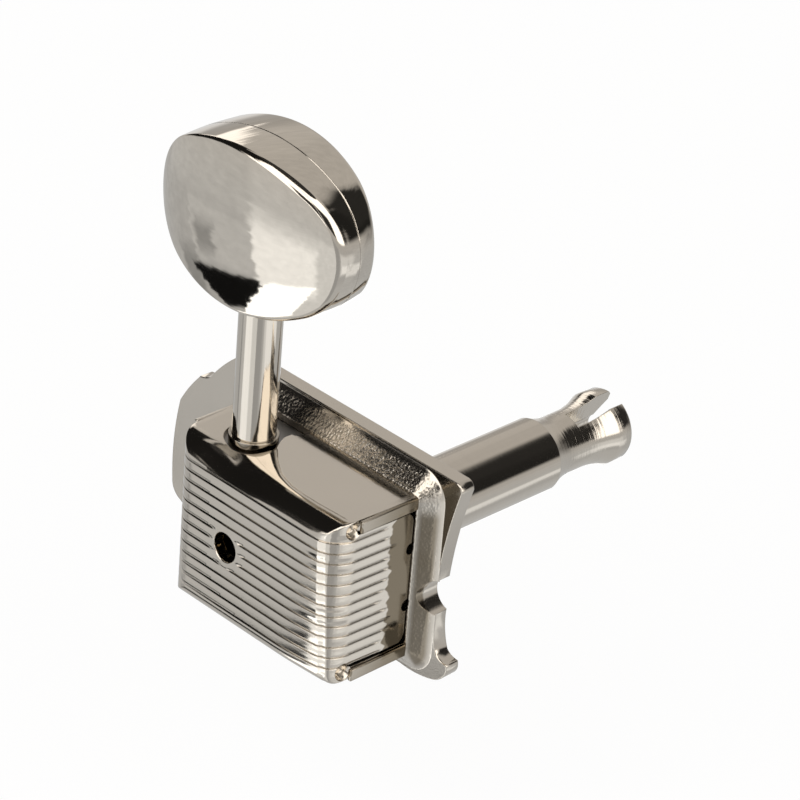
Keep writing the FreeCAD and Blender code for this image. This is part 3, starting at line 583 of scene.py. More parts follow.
def make_finishes(finishes):
    """Every finish by the name of its material slot."""
    return {
        "cover_nickel": cover_nickel(finishes),
        "plate_nickel": plate_nickel(finishes),
        "button_nickel": button_nickel(finishes),
        "post_nickel": post_nickel(finishes),
        "stem_nickel": stem_nickel(finishes),
        "bush_steel": dull_metal("bush_steel", finishes.steel, 0.3, 6000.0, 0.000004),
        "washer_steel": dull_metal("washer_steel", finishes.washer, 0.25, 5000.0, 0.000002),
        "wheel_brass": dull_metal("wheel_brass", finishes.brass, 0.2, 4000.0, 0.000003),
        "sleeve_brass": dull_metal("sleeve_brass", finishes.brass, 0.22, 5000.0, 0.000002),
    }


FINISHES = {}


# String post

def post_profile(sizes):
    """Radius and height along the post, from the rivet head inside the case to the tip."""
    tang, head, rivet = 2.2, 2.6, -8.7
    neck = outline([(sizes.radius, sizes.shoulder, -0.113), (sizes.waist, 20.1),
                    (sizes.waist, 21.4, -0.098), (sizes.radius, 24.3)], 10, closed=False)
    neck[0:1] = [(sizes.radius, sizes.shoulder - 0.06),
                 (sizes.radius - 0.03, sizes.shoulder + 0.02)]
    return [(0, rivet), (1.95, rivet), (head, WHEEL_FRONT), (tang, WHEEL_FRONT),
            (tang, WHEEL_BACK), (sizes.bearing, WHEEL_BACK), (sizes.bearing, 0),
            (sizes.radius, 0), *neck, (sizes.radius, POST_TIP - 0.4),
            (sizes.radius - 0.04, POST_TIP - 0.3), (head + 0.08, POST_TIP - 0.03),
            (head, POST_TIP), (0, POST_TIP)]


def make_post(sizes):
    """The string post: turned body, string slot, bore with a countersunk mouth, flatted tang."""
    post = working_object(turned(post_profile(sizes), 128, "+Y"), "post_turned")
    turn = Matrix.Rotation(sizes.slot_turn, 4, "Y")
    half, past, flat = sizes.slot / 2, 4.0, 1.8
    slot = slab([(-half, -past), (half, -past), (half, past), (-half, past)],
                POST_TIP - sizes.slot_depth, POST_TIP + 2.0, turn)
    bore = turned([(0, 17.0), (sizes.bore, 17.0), (sizes.bore, 24.9), (sizes.mouth, POST_TIP),
                   (sizes.mouth, POST_TIP + 1.0), (0, POST_TIP + 1.0)], 64, "+Y")
    tools = [working_object(slot, "slot_tool"), working_object(bore, "bore_tool")]
    for low, high in ((-past, -flat), (flat, past)):
        tools.append(working_object(
            slab([(-past, low), (past, low), (past, high), (-past, high)], WHEEL_FRONT,
                 WHEEL_BACK, turn), "flat_tool"))
    carve(post, tools)
    return finish_piece(post, "post", FINISHES["post_nickel"], ["string_post"])


# Button

def knob_outline(sizes):
    """Points round the button's oval, in X and Z from its middle."""
    across, up = sizes.half_length * 0.7216, sizes.half_height * 0.7216
    side = (sizes.half_height - up) / across
    end = (sizes.half_length - across) / up
    return outline([(-across, -up, side), (across, -up, end), (across, up, side),
                    (-across, up, end)], 40)


def knob_section(sizes, x, z):
    """Section from the face's middle to the parting line, towards one point of the outline."""
    reach = math.hypot(x, z)
    half_long = sizes.half_length / math.sqrt(1 - (sizes.rim_end / sizes.half_thickness) ** 2)
    half_high = sizes.half_height / math.sqrt(1 - (sizes.rim_top / sizes.half_thickness) ** 2)
    flat = math.hypot(x / reach / half_long, z / reach / half_high)

    def dome(radius):
        return sizes.half_thickness * math.sqrt(max(0.0, 1 - (radius * flat) ** 2))

    def tilt(radius):
        return math.atan((sizes.half_thickness * flat) ** 2 * radius / max(dome(radius), 1e-6))

    rim = reach - sizes.barrel
    touch = rim
    rounding = sizes.edge_round
    rounding += (sizes.end_round - sizes.edge_round) * ((x / reach + 1) / 2) ** 2
    for _ in range(12):
        touch = rim - rounding * (1 - math.sin(tilt(touch)))
    lean = tilt(touch)
    middle = (touch - rounding * math.sin(lean), dome(touch) - rounding * math.cos(lean))
    radii = [touch * math.sin(math.pi / 2 * step / 22) for step in range(1, 22)]
    section = [(radius, dome(radius)) for radius in radii]
    for step in range(9):
        turn = lean + (math.pi / 2 - lean) * step / 8
        section.append((middle[0] + rounding * math.sin(turn),
                        middle[1] + rounding * math.cos(turn)))
    top = section[-1][1]
    for step in range(1, 7):
        height = top * (1 - step / 6) + sizes.parting * step / 6
        section.append((rim + sizes.barrel * (1 - (height / top) ** 2), height))
    return section + [(reach - sizes.parting, 0.0)]


def make_knob_half(sizes, node, side):
    """One half of the button: crowned face, rounded edge, barrelled rim and its bore."""
    points = knob_outline(sizes)
    sections = [knob_section(sizes, x, z) for x, z in points]
    mesh = bmesh.new()
    rings = [[mesh.verts.new((0, side * sizes.half_thickness, 0))]]
    for place in range(len(sections[0])):
        ring = []
        for (x, z), section in zip(points, sections):
            radius, height = section[place]
            reach = math.hypot(x, z)
            ring.append(mesh.verts.new((x / reach * radius, side * height, z / reach * radius)))
        rings.append(ring)
    for low, high in zip(rings, rings[1:]):
        stitch(mesh, low, high)
    mesh.faces.new(rings[-1])
    mesh.transform(Matrix.Translation((STEM[0], STEM[1], sizes.centre))
                   @ Matrix.Rotation(sizes.turn, 4, "Z"))
    half = working_object(mesh, node + "_half")
    stem, collar, low, high = 1.69, 2.32, sizes.centre - sizes.half_height + 0.5, 22.4
    bore = turned([(0, 14.0), (stem, 14.0), (stem, low), (collar, low), (collar, high),
                   (0, high)], 64, "+Z", (STEM[0], STEM[1], 0))
    carve(half, [working_object(bore, "stem_tool")])
    return finish_piece(half, "button_shaft", FINISHES["button_nickel"], [node])


# Base plate

PLATE_RIGHT_SHARES = (
    (0.540, -1.000, 0.100), (0.872, -0.964, 0.200), (1.000, -0.840, 0.220),
    (1.000, -0.742, -0.220), (0.890, -0.697, -0.120), (0.843, -0.337, 0.0),
    (0.843, 0.003, -0.050), (0.996, 0.922, 0.350), (0.938, 1.000, 0.0))
PLATE_LEFT_SHARES = (
    (0.656, 1.000, 0.080), (0.818, 0.614, -0.120), (0.872, 0.566, 0.060), (0.976, 0.218, 0.080),
    (0.999, -0.636, 0.300), (0.948, -0.786, 0.080), (0.700, -1.000, 0.0))


def plate_outline():
    """Plate's outline in X and Z: scalloped end to the right, long ear to the left."""
    half = 8.85
    corners = [(10.2 * across, half * up, bulge) for across, up, bulge in PLATE_RIGHT_SHARES]
    corners += [(-20.9 * across, half * up, bulge) for across, up, bulge in PLATE_LEFT_SHARES]
    return outline(corners, 10)


def footprint(margin, radius, steps=10):
    """Round-cornered box with a margin round the cover's footprint."""
    return rounded_box(COVER_LEFT - margin, -COVER_TOP - margin, COVER_RIGHT + margin,
                       COVER_TOP + margin, radius, steps)


def shoulder_rows(sizes):
    """Rows of the drawn shoulder: foot, straight flank, rounded crest."""
    base, rise = -sizes.sheet, PAN_FRONT + sizes.sheet
    reach = sizes.shoulder_foot - sizes.shoulder_crest
    share_round = sizes.press_round / math.hypot(reach, rise)

    def at(share):
        radius = sizes.foot_round + (sizes.crest_round - sizes.foot_round) * share
        return sizes.shoulder_foot - reach * share, base + rise * share, max(0.2, radius)

    margin, _, radius = at(0.0)
    rows = [(margin + 0.3, base - rise * 0.02, radius + 0.3),
            (margin + 0.14, base + rise * 0.02, radius + 0.14),
            (margin, base + rise * 0.09, radius)]
    rows += [at(share) for share in (0.2, 0.4, 0.6, 0.8, 1 - share_round)]
    margin, height, radius = rows[-1]
    for step in range(1, 5):
        bend = step / 4
        rows.append((margin - sizes.press_round * (0.35 * bend + 0.75 * bend * bend),
                     PAN_FRONT - (PAN_FRONT - height) * (1 - bend) ** 2,
                     max(0.2, radius - 0.2 * bend)))
    return footprint_rows(rows)


def footprint_rows(rows):
    """Points of rows that are given by margin, height and corner radius."""
    return [[(x, y, z) for x, z in footprint(margin, radius)] for margin, y, radius in rows]


def make_plate(sizes):
    """The base plate: rounded rim, drawn shoulder, recess behind, collar, holes and slots."""
    plate = working_object(slab(plate_outline(), -sizes.sheet, 0.0), "plate_stamping")
    round_edges(plate, sizes.rim_round, 3, 50)
    carve(plate, [working_object(stacked(shoulder_rows(sizes)), "shoulder_tool")], "UNION")
    recess = footprint_rows([(0.25, 0.6, 2.0), (0.25, 0.0, 2.0), (0.05, -0.35, 1.6),
                             (-0.6, -0.8, 1.0), (-1.1, -1.2, 0.6)])
    carve(plate, [working_object(stacked(recess), "recess_tool")])
    collar = turned([(0, -1.6), (4.1, -1.6), (4.1, -0.12), (4.03, -0.05), (0, -0.05)], 64, "+Y")
    carve(plate, [working_object(collar, "collar_tool")], "UNION")
    bore = turned([(0, -3.0), (2.8, -3.0), (2.8, 1.0), (0, 1.0)], 96, "+Y")
    tools = [working_object(bore, "bore_tool")]
    for x in (sizes.notch_offset, -sizes.ear_offset):
        hole = turned([(0, -3.0), (sizes.notch, -3.0), (sizes.notch, 1.0), (0, 1.0)], 64,
                      "+Y", (x, 0, -sizes.hole_drop))
        tools.append(working_object(hole, "screw_tool"))
    lip, front = sizes.notch + 0.12, -sizes.sheet
    ring = turned([(0, front - 0.2), (lip + 0.2, front - 0.2), (lip, front - 0.001),
                   (sizes.notch + 0.035, front + 0.035), (sizes.notch - 0.1, front + 0.3),
                   (0, front + 0.3)], 64, "+Y", (-sizes.ear_offset, 0, -sizes.hole_drop))
    tools.append(working_object(ring, "lip_tool"))
    depth, gap = 1.4, 0.05
    for low, high in ((COVER_LEFT - gap, COVER_LEFT + depth - gap),
                      (COVER_RIGHT - depth + gap, COVER_RIGHT + gap)):
        slot = slab([(low, -2.0), (high, -2.0), (high, 2.0), (low, 2.0)], -3.0, 0.5)
        tools.append(working_object(slot, "tab_tool"))
    carve(plate, tools)
    return finish_piece(plate, "gearbox", FINISHES["plate_nickel"],
                        ["base_plate"], 38)


# Cover

# From here on to the right, the line where the top flap's level part ends.
CREASE = ((-4.7, -6.0), (-4.3, -6.1), (-2.93, -7.29), (-1.33, -8.3), (0.26, -8.76), (1.66, -8.9),
          (3.2, -8.9), (7.2, -8.7))
CREASE_LEFT = -8.9
# A place in X that is past both ends of the cover.
PAST = 20.0

# The right side of the slot round the stem slants to the left and ends in a round corner.
SLOT_WAY_OUT = ((-4.85, -5.3), (-5.22, -4.45), (-5.2, -3.8, 0.3), (-4.55, -3.05), (-4.55, 0.5))


def crease_at(x):
    """Where the top flap's level part ends and the roll towards the front begins."""
    right, back = CREASE[0]
    if x <= right:
        left = COVER_FRONT + 1.8
        part = min(1.0, max(0.0, (x - CREASE_LEFT) / (right - CREASE_LEFT)))
        return left + (back - left) * part * part * (3 - 2 * part)
    for (x0, y0), (x1, y1) in zip(CREASE, CREASE[1:]):
        if x <= x1:
            return y0 + (y1 - y0) * max(0.0, (x - x0) / (x1 - x0))
    return CREASE[-1][1]


def front_bow(sizes, x, height):
    """How far the front falls back on its way to the right corner, most of all at the bottom."""
    start = 1.0 + 0.25 * (height - sizes.bottom_drop + COVER_TOP)
    return sizes.corner_bow * max(0.0, (min(x, COVER_RIGHT) - start) / 6.0) ** 2


def roll_at(sizes, x, turn):
    """Front line and drop where the top flap rolls over; the roll is tightest at the left."""
    start, turn = crease_at(x), math.radians(turn)
    power = 1 + 0.11 * min(1.0, max(0.0, (x - CREASE_LEFT) / 4.0))
    across, down = math.sin(turn) ** power, 1 - max(0.0, math.cos(turn)) ** power
    return start + (COVER_FRONT - start) * across, sizes.top_drop * down


def hull_rows(sizes):
    """Heights and roll angles of the hull's rows, close together in the grooves."""
    rows = [("bottom", turn) for turn in range(0, 90, 9)]
    low, high = -COVER_TOP + sizes.bottom_drop, COVER_TOP - sizes.top_drop
    heights = {low, high}
    half = sizes.groove_width / 2
    for index in range(sizes.grooves):
        groove = sizes.groove_top - index * sizes.groove_pitch
        for offset in (-1.0, -0.75, -0.45, -0.15, 0.15, 0.45, 0.75, 1.0):
            heights.add(groove + half * offset)
        for offset in (0.24, 0.34, 0.4465, 0.56, 0.66):
            heights.add(groove - offset)
    rows += [("wall", height) for height in sorted(heights) if low <= height <= high]
    rows += [("top", turn) for turn in range(84, -1, -6)]
    return rows + [("crease", step) for step in (0.06, 0.14)]


def hull_columns():
    """Stations round the hull's plan: left side, left bend, front, right bend, right side."""
    sides = [PAN_FRONT - 5.9 * step / 30 for step in range(30)]
    bends = [-6 * step for step in range(16)]
    columns = [("side", -1, y) for y in sides] + [("bend", -1, turn) for turn in bends]
    columns += [("front", 0, step / 52) for step in range(1, 52)]
    columns += [("bend", 1, turn) for turn in reversed(bends)]
    return columns + [("side", 1, y) for y in reversed(sides)]


def bend_point(sizes, front, side, turn):
    """Point of a side bend at a normal angle, blended into the front line at that height."""
    lean = math.tan(sizes.side_lean) * (sizes.groove_end - sizes.side_bend)
    middle = (COVER_RIGHT if side > 0 else COVER_LEFT) - side * (sizes.side_bend + lean)
    centre = COVER_FRONT + sizes.side_bend
    inner = sizes.side_bend - sizes.ball_round
    ball_y = front + sizes.ball_round
    ball_x = math.sqrt(max(0.0, inner * inner - (ball_y - centre) ** 2))
    meeting = math.degrees(math.atan2(ball_y - centre, ball_x))
    cos, sin = math.cos(math.radians(turn)), math.sin(math.radians(turn))
    if turn < meeting:
        return middle + side * (ball_x + sizes.ball_round * cos), ball_y + sizes.ball_round * sin
    return middle + side * sizes.side_bend * cos, centre + sizes.side_bend * sin


def hull_point(sizes, row, column):
    """A point of the cover's outer surface."""
    kind, value = row
    place, side, along = column
    height = value
    if kind == "bottom":
        height = -COVER_TOP + sizes.bottom_drop * (1 - math.cos(math.radians(value)))
    elif kind == "crease":
        sunk = 0.045 if value < 0.1 and place == "front" and along > 0.25 else 0.0
        height = COVER_TOP - sunk

    def front_at(x):
        if kind == "crease":
            return crease_at(x) + (value if place == "front" else 0.0)
        if kind == "top":
            bow = front_bow(sizes, x, COVER_TOP - sizes.top_drop)
            return roll_at(sizes, x, value)[0] + bow * max(0.0, value - 60) / 30
        front = COVER_FRONT + front_bow(sizes, x, max(height, sizes.bottom_drop - COVER_TOP))
        if kind == "wall":
            return front
        start = COVER_FRONT + sizes.bottom_drop
        return start + math.sin(math.radians(value)) * (front - start)

    def height_at(x):
        return COVER_TOP - roll_at(sizes, x, value)[1] if kind == "top" else height

    if place == "side":
        lean = math.tan(sizes.side_lean) * max(0.0, COVER_FRONT + sizes.groove_end - along)
        edge = COVER_RIGHT if side > 0 else COVER_LEFT
        return edge - side * lean, along, height_at(side * PAST)
    if place == "bend":
        x, y = bend_point(sizes, front_at(side * PAST), side, along)
        return x, y, height_at(side * PAST)
    left, _ = bend_point(sizes, front_at(-PAST), -1, -90)
    right, _ = bend_point(sizes, front_at(PAST), 1, -90)
    x = left + (right - left) * along
    return x, front_at(x), height_at(x)


def ridge_tree():
    """Geometry nodes that press the even grooves into the hull, with ragged ends on the sides."""
    tree = bpy.data.node_groups.new("cover_ridges", "GeometryNodeTree")
    sheet = Sheet(tree)
    tree.interface.new_socket("Hull", in_out="INPUT", socket_type="NodeSocketGeometry")
    for name in ("Pitch", "Width", "Depth", "Top", "Crown", "Sway", "End", "Spread",
                 "Hole Clear", "Hole X", "Hole Z"):
        tree.interface.new_socket(name, in_out="INPUT", socket_type="NodeSocketFloat")
    for name in ("Count", "Seed"):
        tree.interface.new_socket(name, in_out="INPUT", socket_type="NodeSocketInt")
    tree.interface.new_socket("Finish", in_out="INPUT", socket_type="NodeSocketMaterial")
    tree.interface.new_socket("Cover", in_out="OUTPUT", socket_type="NodeSocketGeometry")
    entry = tree.nodes.new("NodeGroupInput")
    given = {socket.name: Wire(sheet, socket) for socket in entry.outputs if socket.name}
    position = sheet.node("GeometryNodeInputPosition")
    x, y, z = sheet.split(position)
    pitch = given["Pitch"]
    index = ((given["Top"] - z) / pitch).math("ROUND")
    index = index.math("MAXIMUM", 0).math("MINIMUM", given["Count"] - 1)
    apart = (z - (given["Top"] - index * pitch)).math("ABSOLUTE")
    half = given["Width"] / 2
    groove = sheet.step(apart, half, half * 0.1)
    across = (apart / (pitch / 2)).math("MINIMUM", 1.0)
    fall = (1 - across) ** 2.0
    side = x.math("GREATER_THAN", -2.0)
    ragged = sheet.node("FunctionNodeRandomValue", {"data_type": "FLOAT"},
                        {2: -0.5, 3: 0.5, "ID": index + side * 100,
                         "Seed": given["Seed"]}, 1)
    end = given["End"] + given["Spread"] * ragged
    inside = sheet.step(y, end, end - 0.8)
    hole = sheet.vector("DISTANCE", sheet.node("ShaderNodeCombineXYZ", {}, [x, 0.0, z]),
                        sheet.node("ShaderNodeCombineXYZ", {}, [given["Hole X"], 0.0,
                                                                given["Hole Z"]]), 1)
    clear = sheet.step(hole, given["Hole Clear"], given["Hole Clear"] + 0.25)
    clear = clear.math("MAXIMUM", y.math("GREATER_THAN", -10.3))
    faint = sheet.step(x, -10.0, -4.0, 0.45, 1.0) * sheet.step(z + x * 0.4, -9.0, -5.0, 0.4, 1.0)
    faint = faint * sheet.step(y, -8.6, -8.0, 1.0, 0.6)
    faint = faint.math("MAXIMUM", y.math("GREATER_THAN", -8.4) * 0.6)
    band = apart.math("LESS_THAN", pitch * 0.6)
    tilt = sheet.node("FunctionNodeRandomValue", {"data_type": "FLOAT"},
                      {2: 0.0, 3: 1.0, "ID": index, "Seed": given["Seed"] + 7}, 1)
    near_corner = sheet.step(x, 2.6, 6.9) ** 2.0 * sheet.step(y, -8.3, -9.7)
    depth = (groove * given["Depth"] * faint + fall * given["Crown"]) * inside * clear * band
    depth = depth + tilt * given["Sway"] * near_corner * band
    normal = sheet.node("GeometryNodeInputNormal")
    offset = sheet.node("ShaderNodeVectorMath", {"operation": "SCALE"},
                        {"Vector": normal, "Scale": 0 - depth})
    pressed = sheet.node("GeometryNodeSetPosition", {}, {"Geometry": given["Hull"],
                                                         "Offset": offset})
    real = sheet.node("GeometryNodeRealizeInstances", {}, [pressed])
    dressed = sheet.node("GeometryNodeSetMaterial", {}, {"Geometry": real,
                                                         "Material": given["Finish"]})
    leave = tree.nodes.new("NodeGroupOutput")
    tree.links.new(dressed.output, leave.inputs["Cover"])
    return tree


def press_ridges(cover, sizes):
    """Run the ridge tree on the hull and keep the result as a plain mesh."""
    tree = ridge_tree()
    pressing = cover.modifiers.new("ridges", "NODES")
    pressing.node_group = tree
    values = {
        "Pitch": sizes.groove_pitch, "Width": sizes.groove_width, "Depth": sizes.groove_depth,
        "Top": sizes.groove_top, "Crown": sizes.rib_crown, "Sway": sizes.rib_sway,
        "End": COVER_FRONT + sizes.groove_end, "Spread": sizes.end_spread,
        "Hole Clear": sizes.oil_hole + sizes.oil_rim, "Hole X": -sizes.oil_offset,
        "Hole Z": -sizes.oil_drop, "Count": sizes.grooves, "Seed": sizes.seed,
        "Finish": FINISHES["cover_nickel"]}
    for item in tree.interface.items_tree:
        if item.in_out == "INPUT" and item.name in values:
            pressing[item.identifier] = values[item.name]
    settle(cover)


def across_cover(points, name):
    """Tool from an outline in Y and Z that passes through both sides of the cover."""
    return working_object(stacked([[(x, y, z) for y, z in points] for x in (-14.0, 10.0)]), name)


def slot_outline(radius, way_out):
    """Outline in X and Y of an open slot round the stem, with the right side's way out."""
    middle, centre, _ = STEM
    return outline([(middle - radius, 0.5), (middle - radius, centre, QUARTER_ARC),
                    (middle, centre - radius, QUARTER_ARC), (middle + radius, centre),
                    *way_out], 16)


def slot_tool(radius, rows, way_out=()):
    """Tool for an open slot: rows of height and how much wider the slot is there."""
    made = []
    for z, wider in rows:
        right = STEM[0] + radius + wider
        leave = [(x + wider, *rest) for x, *rest in way_out] or [(right, 0.5)]
        made.append([(x, y, z) for x, y in slot_outline(radius + wider, leave)])
    return working_object(stacked(made), "slot_tool")


def cover_tools(sizes):
    """Everything that is cut out of the cover's hull."""
    wall, top, hole = sizes.wall, COVER_TOP, sizes.oil_hole
    inner = top - wall
    hollow = working_object(slab(
        rounded_box(COVER_LEFT + wall, -inner, COVER_RIGHT - wall - 0.1, inner, 0.4),
        COVER_FRONT + wall, 0.0), "hollow_tool")
    round_edges(hollow, 0.7, 3, 50)
    tools = [hollow]
    slit, slit_end, relief, relief_end = 0.26, COVER_FRONT + 2.4, 0.55, COVER_FRONT + 1.87
    for sign in (1, -1):
        low, high = sorted((sign * (inner - slit), sign * inner))
        tools.append(across_cover([(slit_end, low), (0.0, low), (0.0, high), (slit_end, high)],
                                  "slit_tool"))
        for outer, way in ((COVER_LEFT, -1), (COVER_RIGHT, 1)):
            profile = [(radius, outer + way * out) for radius, out in (
                (0, -0.75), (relief - 0.1, -0.75), (relief, -0.6), (relief + 0.04, -0.33),
                (relief + 0.16, -0.2), (relief + 0.5, 0.5), (0, 0.5))]
            tools.append(working_object(
                turned(profile, 40, "+X", (0, relief_end, sign * (inner + 0.2))), "relief_tool"))
    seam, edge, corner, half_tab = PAN_FRONT - 0.1, inner - slit / 2, 1.0, 2.45
    upper = outline([(seam, half_tab), (0.2, half_tab), (0.2, edge),
                     (seam - corner, edge, -QUARTER_ARC), (seam, edge - corner)], 10)
    lower = [(y, -z) for y, z in reversed(upper)]
    tools += [across_cover(points, "seam_tool") for points in (upper, lower)]
    for sign in (1, -1):
        tools.append(working_object(turned([(0, -13.0), (0.5, -13.0), (0.5, 9.0), (0, 9.0)], 32,
                                           "+X", (0, seam, sign * half_tab)), "tab_tool"))
    tools.append(slot_tool(sizes.slot_side, [(4.0, 0.0), (top - 0.12, 0.0), (top - 0.03, 0.03),
                                             (top + 0.01, 0.1), (9.0, 0.2)], SLOT_WAY_OUT))
    tools.append(slot_tool(1.78, [(-9.0, 0.1), (-top - 0.01, 0.08), (-top + 0.1, 0.0),
                                  (-4.0, 0.0)]))
    front = COVER_FRONT
    tools.append(working_object(turned(
        [(0, front - 1.0), (hole + 0.2, front - 1.0), (hole + 0.07, front - 0.01),
         (hole + 0.02, front + 0.03), (hole, front + 0.09), (hole, front + 1.5),
         (0, front + 1.5)], 64, "+Y", (-sizes.oil_offset, 0, -sizes.oil_drop)), "oil_tool"))
    return tools


def cover_additions(sizes):
    """Proud ends of the flaps, and the tabs that are folded behind the plate."""
    inner = COVER_TOP - sizes.wall
    parts = []
    for low, high in ((inner, COVER_TOP), (-COVER_TOP, -inner)):
        for left, right in ((COVER_RIGHT - 0.05, COVER_HIGH.x), (COVER_LOW.x, COVER_LEFT + 0.05)):
            end = working_object(slab([(left, low), (right, low), (right, high), (left, high)],
                                      COVER_FRONT + 2.3, PAN_FRONT), "flap_end")
            round_edges(end, 0.1, 3, 50)
            parts.append(end)
    for outer, inward in ((COVER_LEFT, 1), (COVER_RIGHT, -1)):
        points = [(outer + inward * way, y) for way, y in (
            (0, -2.8), (sizes.wall, -2.8), (sizes.wall, -1.18), (2.2, -1.18), (2.2, -0.3),
            (2.08, -0.18), (0.5, -0.18), (0.12, -0.33), (0, -0.7))]
        tab = stacked([[(x, y, z) for x, y in points] for z in (-1.95, 1.95)])
        parts.append(working_object(tab, "tab"))
    return parts


def make_cover(sizes):
    """The folded cover: rolled front, ridged front and sides, plain flaps, clinched tabs."""
    columns = hull_columns()
    rows = [[hull_point(sizes, row, column) for column in columns] for row in hull_rows(sizes)]
    cover = working_object(stacked(rows), "cover_stamping")
    press_ridges(cover, sizes)
    carve(cover, cover_tools(sizes))
    carve(cover, cover_additions(sizes), "UNION")
    return finish_piece(cover, "gearbox", FINISHES["cover_nickel"], ["cover"], 36)


# Studio

# The tent around the object, by azimuth from +X towards +Y and by elevation, in degrees.
# Later patches lie over earlier ones. A patch's lean is how far it shifts in azimuth with each
# degree of elevation.
PATCHES = (
    # azimuth from, to, elevation from, to, softness, tone, lean
    (-60, 300, -90, -44, 4.0, 0.62, 0.0),
    (-24, 40, -34, -13, 3.0, 0.90, 0.0),
    (-78, -33, -60, -10, 3.0, 0.46, 0.0),
    (-14, 34, -33, -24, 2.0, 1.18, 0.0),
    (-60, 28, 1, 90, 2.0, 2.10, 0.0),
    (-60, -24, 1, 30, 3.0, 0.04, 0.0),
    (58, 83, -6, 50, 10.0, 0.16, 0.0),
    (30, 64, 2, 43, 4.0, 0.02, 0.0),
    (45, 78, 10, 49, 4.0, 0.03, 0.0),
    (36, 52, -50, -8, 4.0, 0.63, 0.0),
    (36, 52, -37, -25, 2.0, 1.04, 0.0),
    (90, 128, 24, 60, 8.0, 0.58, 0.0),
    (124, 141, 22, 44, 3.0, 0.62, 0.0),
    (118, 150, -4, 18, 5.0, 0.46, 0.0),
    (122, 150, -20, -3, 4.0, 0.80, 0.0),
    (122, 140, -50, -20, 3.0, 1.45, 0.0),
    (240, 298, -4, 64, 1.0, 2.10, 0.0),
    (270, 298, 0, 24, 2.0, 0.05, 0.0),
    (150, 236, 2, 57, 2.0, 0.012, 0.0),
    (185, 247, 12, 68, 2.0, 0.012, 0.0),
    (141, 163, 12, 34, 1.5, 1.60, 0.0),
    (-60, 300, 66, 90, 1.5, 0.04, 0.0),
    (200, 236, -8, 6, 1.0, 0.02, 0.0),
    (180, 242, -23, -7, 2.5, 0.66, 0.0),
    (240, 304, -21, -6, 3.0, 0.74, 0.0),
    (240, 304, -60, -19, 1.5, 0.92, 0.0),
    (238, 276, -39, -23, 2.5, 1.30, 0.0),
    (206, 239, -34, -24, 0.8, 0.68, 0.0),
    (209, 219, -32.5, -27.5, 2.0, 0.38, 0.0),
    (190, 205, -46, -33, 2.5, 0.36, 0.0),
    (208, 245, -42.3, -34.9, 0.4, 0.008, -2.0),
    (224.5, 257, -52, -35.2, 0.4, 2.1, 2.2),
)


def patch_mask(sheet, azimuth, elevation, patch):
    """Share of a patch that a direction meets."""
    left, right, low, high, softness, _, lean = patch
    middle, level = (left + right) / 2, (low + high) / 2
    away = azimuth - middle
    if lean:
        away = away - (elevation - level) * lean
    across = away.math("ABSOLUTE") - (right - left) / 2
    up = (elevation - level).math("ABSOLUTE") - (high - low) / 2
    return sheet.step(across.math("MAXIMUM", up), softness, -softness)


def make_world():
    """Light tent: soft light with dark and bright patches; the camera itself sees white."""
    world = bpy.data.worlds.new("studio_tent")
    world.use_nodes = True
    sheet = Sheet(world.node_tree)
    direction = sheet.node("ShaderNodeTexCoord", output="Generated")
    direction = sheet.vector("NORMALIZE", direction)
    x, y, z = sheet.split(direction)
    elevation = z.math("ARCSINE").math("DEGREES")
    azimuth = sheet.node("ShaderNodeMath", {"operation": "ARCTAN2"}, [y, x]).math("DEGREES")
    azimuth = sheet.node("ShaderNodeMath", {"operation": "WRAP"}, [azimuth, 300.0, -60.0])
    folds = sheet.node("ShaderNodeCombineXYZ", {}, [azimuth * 0.03, elevation * 0.75, 0.0])
    rags = sheet.noise(folds, 1.0, 3.0, 0.65) - 0.5
    drape = sheet.noise(direction, 7.0, 2.0, 0.5) - 0.5
    azimuth = azimuth + rags * 11.0 + drape * 4.0
    elevation = elevation + drape * 2.0
    shade = sheet.noise(folds, 2.0, 3.0, 0.6, (3.0, 0.5, 1.0))
    tone = sheet.step(elevation, -50.0, 50.0, 0.56, 0.62)
    tent = sheet.node("ShaderNodeCombineColor", {}, [tone, tone, tone])
    for patch in PATCHES:
        tent = sheet.mix(patch_mask(sheet, azimuth, elevation, patch), tent,
                         opaque([patch[5]] * 3))
    shade = sheet.mix(shade, (0.8, 0.8, 0.8, 1.0), (1.18, 1.18, 1.18, 1.0))
    tent = sheet.mix(1.0, tent, shade, "MULTIPLY")
    warmth = sheet.step(elevation, -25.0, 15.0)
    tint = sheet.mix(warmth, (0.99, 1.0, 1.01, 1.0), (1.03, 0.98, 0.925, 1.0))
    tent = sheet.mix(1.0, tent, tint, "MULTIPLY")
    ray = sheet.node("ShaderNodeLightPath", output="Is Camera Ray")
    seen = sheet.mix(ray, tent, (1.0, 1.0, 1.0, 1.0))
    light = sheet.node("ShaderNodeBackground", {}, {"Color": seen, "Strength": 1.0})
    sheet.node("ShaderNodeOutputWorld", {}, {"Surface": light})
    bpy.context.scene.world = world


def floor_finish(finishes):
    """Pale floor: nearly white to the camera, with the object's soft shadow on it."""
    finish, sheet, place = new_finish("studio_floor")
    speck = sheet.noise(place, 40.0, 2.0)
    base = sheet.mix(speck * 0.3, opaque(finishes.floor), shaded(finishes.floor, 0.98))
    lit = sheet.node("ShaderNodeBsdfDiffuse", {}, {"Color": base})
    glow = sheet.node("ShaderNodeEmission", {}, {"Color": (1.0, 1.0, 1.0, 1.0), "Strength": 1.0})
    ray = sheet.node("ShaderNodeLightPath", output="Is Camera Ray")
    shade = sheet.node("ShaderNodeMixShader", {}, [ray * 0.94, lit, glow])
    sheet.node("ShaderNodeOutputMaterial", {}, {"Surface": shade})
    return finish


